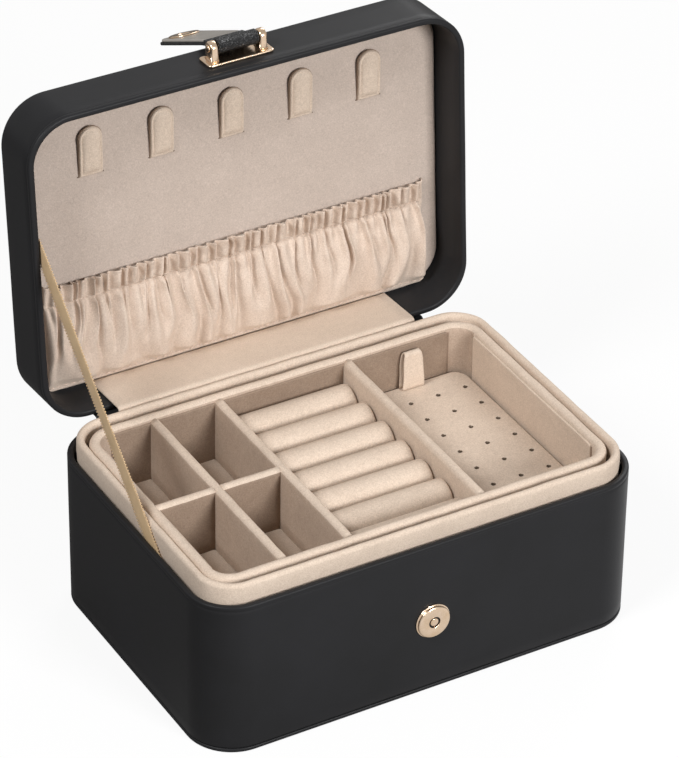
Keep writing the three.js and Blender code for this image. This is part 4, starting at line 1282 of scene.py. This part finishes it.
# Painted half shade on the inside of the back wall and its corners, where they face the front.
cover_part(tray_walls, PAINTED_HALF_SHADE_VELVET, lambda at, normal: at.y > IN_D / 2 - CORNER_REACH
           and normal.y < -0.02 and normal.z > -0.5 and at.z < TRAY_Z + TRAY_H - top_r / 2)
for piece in (tray_walls, tray_board, tray_floor):
    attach(piece, "tray")
print("The tray's rim is at", round(TRAY_Z + TRAY_H, 1), "mm")

# %% Lining boards of the tray
LINING_T, LINING_TOP, LINING_FOOT, LINING_STOP = 0.6, TRAY_H - 1.6, 3.4, 6.6
SEAM_W, SEAM_T = 0.75, 0.48
side_boards = (
    ("back", IN_W - 2 * LINING_STOP, (0, IN_D / 2, 0), 0),
    ("front", IN_W - 2 * LINING_STOP, (0, -IN_D / 2, 0), 180),
    ("left", IN_D - 2 * LINING_STOP, (-IN_W / 2, 0, 0), 90),
    ("right", IN_D - 2 * LINING_STOP, (IN_W / 2, 0, 0), 270))
LINING_H = LINING_TOP - LINING_FOOT


def against_wall(points, middle, turn):
    """Stands a flat piece up against a wall of the tray, turned to face inwards."""
    up = (LINING_TOP + LINING_FOOT) / 2 + TRAY_Z
    points = np.column_stack([points[:, 0], 0.3 - points[:, 2], points[:, 1] + up])
    cos, sin = math.cos(math.radians(turn)), math.sin(math.radians(turn))
    return np.column_stack([points[:, 0] * cos - points[:, 1] * sin,
                            points[:, 0] * sin + points[:, 1] * cos,
                            points[:, 2]]) + np.array(middle)


# Each corner seam gets a narrow strip of dark velvet: painted crease shade.
seam_shapes = []
for word, length, middle, turn in side_boards:
    points, faces = rounded_stack(length, LINING_H, 0.9,
                                  board_section(LINING_T + 0.3, 0.4, 4, 0.3), steps=6,
                                  along=(44, 10))
    points = soften(against_wall(points, middle, turn), 9.0, 0.08)
    # The back board, which faces the front, is painted in the deep shade.
    lining_board = add_piece(f"tray_velvet_side_{word}", place_mesh(points), faces,
                             PAINTED_DEEP_SHADE_VELVET if word == "back" else VELVET)
    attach(lining_board, "tray")
    for sign in (-1, 1):
        points, faces = rounded_stack(SEAM_W, LINING_H - 1.2, 0.2,
                                      board_section(SEAM_T, 0.1, 2, 0.05), steps=2,
                                      along=(2, 10))
        points[:, 0] += sign * (length / 2 + 0.2)
        seam_shapes.append((against_wall(points, middle, turn), faces))
points, faces = joined(seam_shapes)
seams = add_piece("tray_corner_seams", place_mesh(points), faces, SEAM_SHADE_VELVET)
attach(seams, "tray")
print("Lining boards:", len(side_boards))

# %% [markdown]
# ## Dividers
# A divider is a thin board wrapped in velvet over its top edge, which makes that edge a soft
# half-round. Three run from front to back, and two short ones cross the narrow columns. In each of
# the four small cells a soft cushion lies on the floor.


# %% Dividers
def wrapped_board(name, node, length, along_x, middle, shaded_side_finish, thickness=3.6, height=25.2):
    """A divider: a board with a round top, along X or Y, over its middle point in mm."""
    r = thickness / 2
    turns = np.radians(np.linspace(0, 180, 13))
    outline = [(r, 0.0), (r, 6.0), (r, 13.0), (r, 19.0)]
    outline += [(r * math.cos(t), height - r + r * math.sin(t)) for t in turns]
    outline += [(-r, 19.0), (-r, 13.0), (-r, 6.0), (-r, 0.0)]
    cuts = max(int(length / 2.2), 4)
    rings = [np.array([(x, -a, b) for a, b in outline])
             for x in np.linspace(-length / 2, length / 2, cuts)]
    points, faces = stack(rings)
    if not along_x:
        points = np.column_stack([-points[:, 1], points[:, 0], points[:, 2]])
    points = soften(points + np.array(middle), 7.0, 0.13)
    made = add_piece(name, place_mesh(points), faces, VELVET)
    # Painted shade on the side of a divider that faces the front or the left.
    cover_part(made, shaded_side_finish, lambda at, normal: at.z < middle[2] + height - r / 2
               and (normal.y if along_x else normal.x) < -0.3)
    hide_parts(node)
    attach(made, "tray")


CUSHION_TOP = 6.4
cell_edges = [-IN_W / 2, *[v for n in (1, 2) for v in (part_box(f"long_divider_{n}")[0].x / MM,
                                                       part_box(f"long_divider_{n}")[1].x / MM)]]
for word, left, right in (("left", *cell_edges[0:2]), ("middle", *cell_edges[2:4])):
    for sign, end in ((-1, "front"), (1, "back")):
        near, far = 1.8, IN_D / 2
        points, faces = rounded_stack(right - left + 0.5, far - near + 0.5, 1.4,
                                      board_section(CUSHION_TOP - 3.6, 0.6, 4, 0.7), steps=6,
                                      along=(12, 20))
        cushion = add_piece(f"velvet_cushion_{word}_{end}", place_mesh(soften(
            points + np.array([(left + right) / 2, sign * (near + far) / 2, TRAY_Z + 3.6]), 7.0,
            0.15)), faces, VELVET)
        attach(cushion, "tray")
# Long dividers 1 and 2 get painted half shade on their left faces, and the cross dividers get
# painted deep shade on their front faces.
for number in (1, 2, 3):
    low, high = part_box(f"long_divider_{number}")
    wrapped_board(f"velvet_long_divider_{number}", f"long_divider_{number}", IN_D + 0.6, False,
                  ((low.x + high.x) / 2 / MM, 0.0, TRAY_Z + 4.0),
                  PAINTED_HALF_SHADE_VELVET if number < 3 else VELVET)
for word in ("left", "right"):
    low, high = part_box(f"cross_divider_{word}")
    wrapped_board(f"velvet_cross_divider_{word}", f"cross_divider_{word}",
                  (high.x - low.x) / MM + 1.4, True,
                  ((low.x + high.x) / 2 / MM, 0.0, TRAY_Z + 4.0), PAINTED_DEEP_SHADE_VELVET)
print("Dividers: three long and two short; cushion tops", CUSHION_TOP, "mm above the underside")

# %% [markdown]
# ## Ring rolls
# Seven foam rolls under velvet lie side by side, and a ring is pushed into the crease between
# two of them. One roll is modelled as a half-round with soft ends, and the laying tree copies
# it at the pitch of the real ones.

# %% Lay seven rolls
low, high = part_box("ring_roll_1")
last_low, last_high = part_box("ring_roll_7")
ROLL_L, ROLL_TOP = (high.x - low.x) / MM - 0.3, (high.z - low.z) / MM
roll_r = (high.y - low.y) / 2 / MM + 0.12
first_y, last_y = (low.y + high.y) / 2, (last_low.y + last_high.y) / 2
turns = np.radians(np.linspace(-8, 188, 33))
SOFT_END = ((0.0, 2.6), (0.1, 1.2), (0.25, 0.6), (0.5, 0.26), (0.9, 0.08), (1.5, 0.0))
stations = [(-ROLL_L / 2 + from_end, inset) for from_end, inset in SOFT_END]
stations += [(x, 0.0) for x in np.linspace(-ROLL_L / 2 + 3, ROLL_L / 2 - 3, 16)]
stations += [(ROLL_L / 2 - from_end, inset) for from_end, inset in reversed(SOFT_END)]
rings = []
for x, inset in stations:
    r = roll_r - inset
    arc = [(x, r * math.cos(t), ROLL_TOP - roll_r + r * math.sin(t)) for t in turns]
    rings.append(np.array([(x, roll_r * 0.55 - inset * 0.3, 2.0), *arc,
                           (x, -roll_r * 0.55 + inset * 0.3, 2.0)]))
points, faces = stack(rings)
points[:, 2] -= ROLL_TOP / 2
roll = small_shape("one_roll", points * MM, faces)
middle_x = (low.x + high.x) / 2
middle_z = (low.z + high.z) / 2
line = [(middle_x, first_y, middle_z), (middle_x, last_y - 0.0001, middle_z)]
pitch = (first_y - last_y) / 6 / MM
rolls = lay_copies("velvet_ring_rolls", line, pitch, roll, VELVET, follow=False)
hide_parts(*[f"ring_roll_{number}" for number in range(1, 8)])
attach(rolls, "tray")
for word in ("front", "back"):
    low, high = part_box(f"pad_rail_{word}")
    size, middle = (high - low) / MM, (high + low) / 2 / MM
    points, faces = rounded_stack(size.x, size.y, 1.2, board_section(size.z, 0.3, 3, 0.3), steps=5,
                                  along=(8, 2))
    rail = add_piece(f"velvet_rail_{word}", place_mesh(points, move=(middle.x, middle.y,
                     low.z / MM)), faces, VELVET)
    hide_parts(f"pad_rail_{word}")
    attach(rail, "tray")
print("Seven rolls at a pitch of", round(pitch, 2), "mm")

# %% [markdown]
# ## The earring pad
# The pad is a foam board in velvet, pierced with a grid of small holes for earring posts. At each
# hole the pile is pushed in, which makes a small dimple with a soft edge; the faces in it are
# painted dark, as painted shade in the hole. A fine grid is moved down at each hole, and its edges
# roll over to the sides of the board.

# %% Pierce the pad
low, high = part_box("earring_pad")
pad_low, pad_size = low / MM, (high - low) / MM
pad_mid = (high + low) / 2 / MM
HOLES_X, HOLES_Y = 4, 7
HOLE_R, HOLE_DEPTH, HOLE_SHADE_R = 0.66, 2.5, 0.8
hole_x = (np.arange(HOLES_X) - 1.5) * (pad_size.x - 2 * 5.55) / 3 + pad_mid.x
hole_y = (np.arange(HOLES_Y) - 3) * (pad_size.y - 2 * 11.1) / 6 + pad_mid.y
pad_w, pad_d = pad_size.x - 0.9, pad_size.y - 0.9


def spread(low_edge, high_edge, marks, coarse, fine_step):
    """Grid lines that crowd near the marks."""
    lines = set(np.round(np.arange(low_edge, high_edge + 1e-6, coarse), 3))
    for mark in marks:
        lines |= set(np.round(mark + np.arange(-1.4, 1.41, fine_step), 3))
    lines |= {round(low_edge, 3), round(high_edge, 3)}
    kept = [line for line in sorted(lines) if low_edge <= line <= high_edge]
    thinned = [kept[0]]
    for line in kept[1:]:
        if line - thinned[-1] > 0.12:
            thinned.append(line)
    return np.array(thinned)


margin = 0.6
grid_x = spread(pad_mid.x - pad_w / 2 + margin, pad_mid.x + pad_w / 2 - margin, hole_x, 1.6, 0.2)
grid_y = spread(pad_mid.y - pad_d / 2 + margin, pad_mid.y + pad_d / 2 - margin, hole_y, 1.6, 0.2)
border = np.array([-0.6, -0.5, -0.3, -0.1])
grid_x = np.concatenate([grid_x[0] + border, grid_x, grid_x[-1] - border[::-1]])
grid_y = np.concatenate([grid_y[0] + border, grid_y, grid_y[-1] - border[::-1]])
gx, gy = np.meshgrid(grid_x, grid_y)
edge_x = np.clip(np.maximum(grid_x[4] - gx, gx - grid_x[-5]) / margin, 0, 1)
edge_y = np.clip(np.maximum(grid_y[4] - gy, gy - grid_y[-5]) / margin, 0, 1)
rolled = 0.6 * (1 - np.sqrt(np.clip(1 - np.maximum(edge_x, edge_y) ** 2, 0, 1)))
dimple = np.zeros_like(gx)
for x in hole_x:
    for y in hole_y:
        r = np.hypot(gx - x, gy - y)
        dimple += HOLE_DEPTH * np.exp(-(r / HOLE_R) ** 12) + 0.12 * np.exp(-(r / 1.3) ** 2)
top = pad_low.z + pad_size.z - rolled - dimple
corner_x, corner_y = pad_mid.x + pad_w / 2 - 5.9, pad_d / 2 - 5.9
across_x, across_y = gx - corner_x, np.abs(gy) - corner_y
beyond = (across_x > 0) & (across_y > 0)
stretch = np.maximum(across_x, across_y) / np.maximum(np.hypot(across_x, across_y), 1e-6)
gx = np.where(beyond, corner_x + across_x * stretch, gx)
gy = np.where(beyond, np.sign(gy) * (corner_y + across_y * stretch), gy)
shape_rows, shape_columns = gx.shape
points = np.column_stack([gx.ravel(), gy.ravel(), top.ravel()])
faces = [(r * shape_columns + c, r * shape_columns + c + 1, (r + 1) * shape_columns + c + 1,
          (r + 1) * shape_columns + c)
         for r in range(shape_rows - 1) for c in range(shape_columns - 1)]
rim = ([(0, c) for c in range(shape_columns)]
       + [(r, shape_columns - 1) for r in range(1, shape_rows)]
       + [(shape_rows - 1, c) for c in range(shape_columns - 2, -1, -1)]
       + [(r, 0) for r in range(shape_rows - 2, 0, -1)])
rim_index = [r * shape_columns + c for r, c in rim]
start_index = len(points)
foot_ring = points[rim_index].copy()
foot_ring[:, 2] = pad_low.z + 0.05
points = np.concatenate([points, foot_ring])
total = len(rim_index)
faces += [(rim_index[k], start_index + k, start_index + (k + 1) % total,
           rim_index[(k + 1) % total]) for k in range(total)]
faces.append(tuple(start_index + k for k in reversed(range(total))))
pad = add_piece("pierced_velvet_pad", place_mesh(points), faces, VELVET)


def in_a_hole(at, _):
    """Whether a face at that point lies in a hole, and not on the pad's underside."""
    near = min(math.hypot(at.x - x, at.y - y) for x in hole_x for y in hole_y)
    return near < HOLE_SHADE_R and at.z > pad_low.z + 0.2


# Painted shade: the faces in each hole get the dark velvet.
cover_part(pad, PIERCED, in_a_hole)
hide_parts("earring_pad")
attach(pad, "pad")
print("The pad has", HOLES_X * HOLES_Y, "holes and", len(pad.data.polygons), "faces")

# %% [markdown]
# ## The pull tab
# A folded loop of the same cloth, with its two plies pressed together, stands at the back of
# the pad. It leans a little, as cloth that has been pulled does.

# %% Fold the pull tab
low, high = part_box("pull_tab")
tab_mid, tab_low = (low + high) / 2 / MM, low.z / MM
tab_w, tab_h = 8.4, 14.0
ply, opening = 0.65, 1.3
outer_r = opening / 2 + ply
line_out, line_in = [], []
for s in np.linspace(0, 1, 16):
    z = s * (tab_h - outer_r)
    swell = 0.4 * math.sin(math.pi * s)
    line_out.append((outer_r + swell, z))
    line_in.append((opening / 2 + swell, z))
bend_out = [(outer_r * math.cos(t), tab_h - outer_r + outer_r * math.sin(t))
            for t in np.radians(np.linspace(12, 168, 11))]
bend_in = [(opening / 2 * math.cos(t), tab_h - outer_r + opening / 2 * math.sin(t))
           for t in np.radians(np.linspace(12, 168, 11))]
outer_line = line_out + bend_out + [(-y, z) for y, z in reversed(line_out)]
inner_line = line_in + bend_in + [(-y, z) for y, z in reversed(line_in)]
rings = []
for (oy, oz), (iy, iz) in zip(outer_line, inner_line):
    half_tab = tab_w / 2 * (1.04 - 0.1 * math.sin(math.pi * oz / tab_h) - 0.3 * (oz / tab_h) ** 5)
    xs = np.linspace(-half_tab + 0.3, half_tab - 0.3, 9)
    mid = ((oy + iy) / 2, (oz + iz) / 2)
    rings.append(np.array([(-half_tab, *mid), *[(x, oy, oz) for x in xs], (half_tab, *mid),
                           *[(x, iy, iz) for x in xs[::-1]]]))
points, faces = stack(rings)
points[:, 1] += 0.05 * points[:, 2] * np.sin(points[:, 2] / tab_h * 2.5)
points += np.array([tab_mid.x, tab_mid.y, tab_low])
pull = add_piece("velvet_pull_tab", place_mesh(soften(points, 5.0, 0.12)), faces, VELVET)
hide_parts("pull_tab")
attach(pull, "pad")
print("The pull tab stands", tab_h, "mm tall")

# %% [markdown]
# ## Put away the shapes that were copied, and finish
# The single stitch, loop and roll have done their work. The bounds of what renders, without the
# floor, are printed.

# %% Finish
for name in ("one_stitch", "one_loop", "one_strap_stitch", "one_roll"):
    bpy.data.objects.remove(bpy.data.objects[name])
low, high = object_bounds()
print("Dressed from", [round(v, 4) for v in low], "to", [round(v, 4) for v in high])
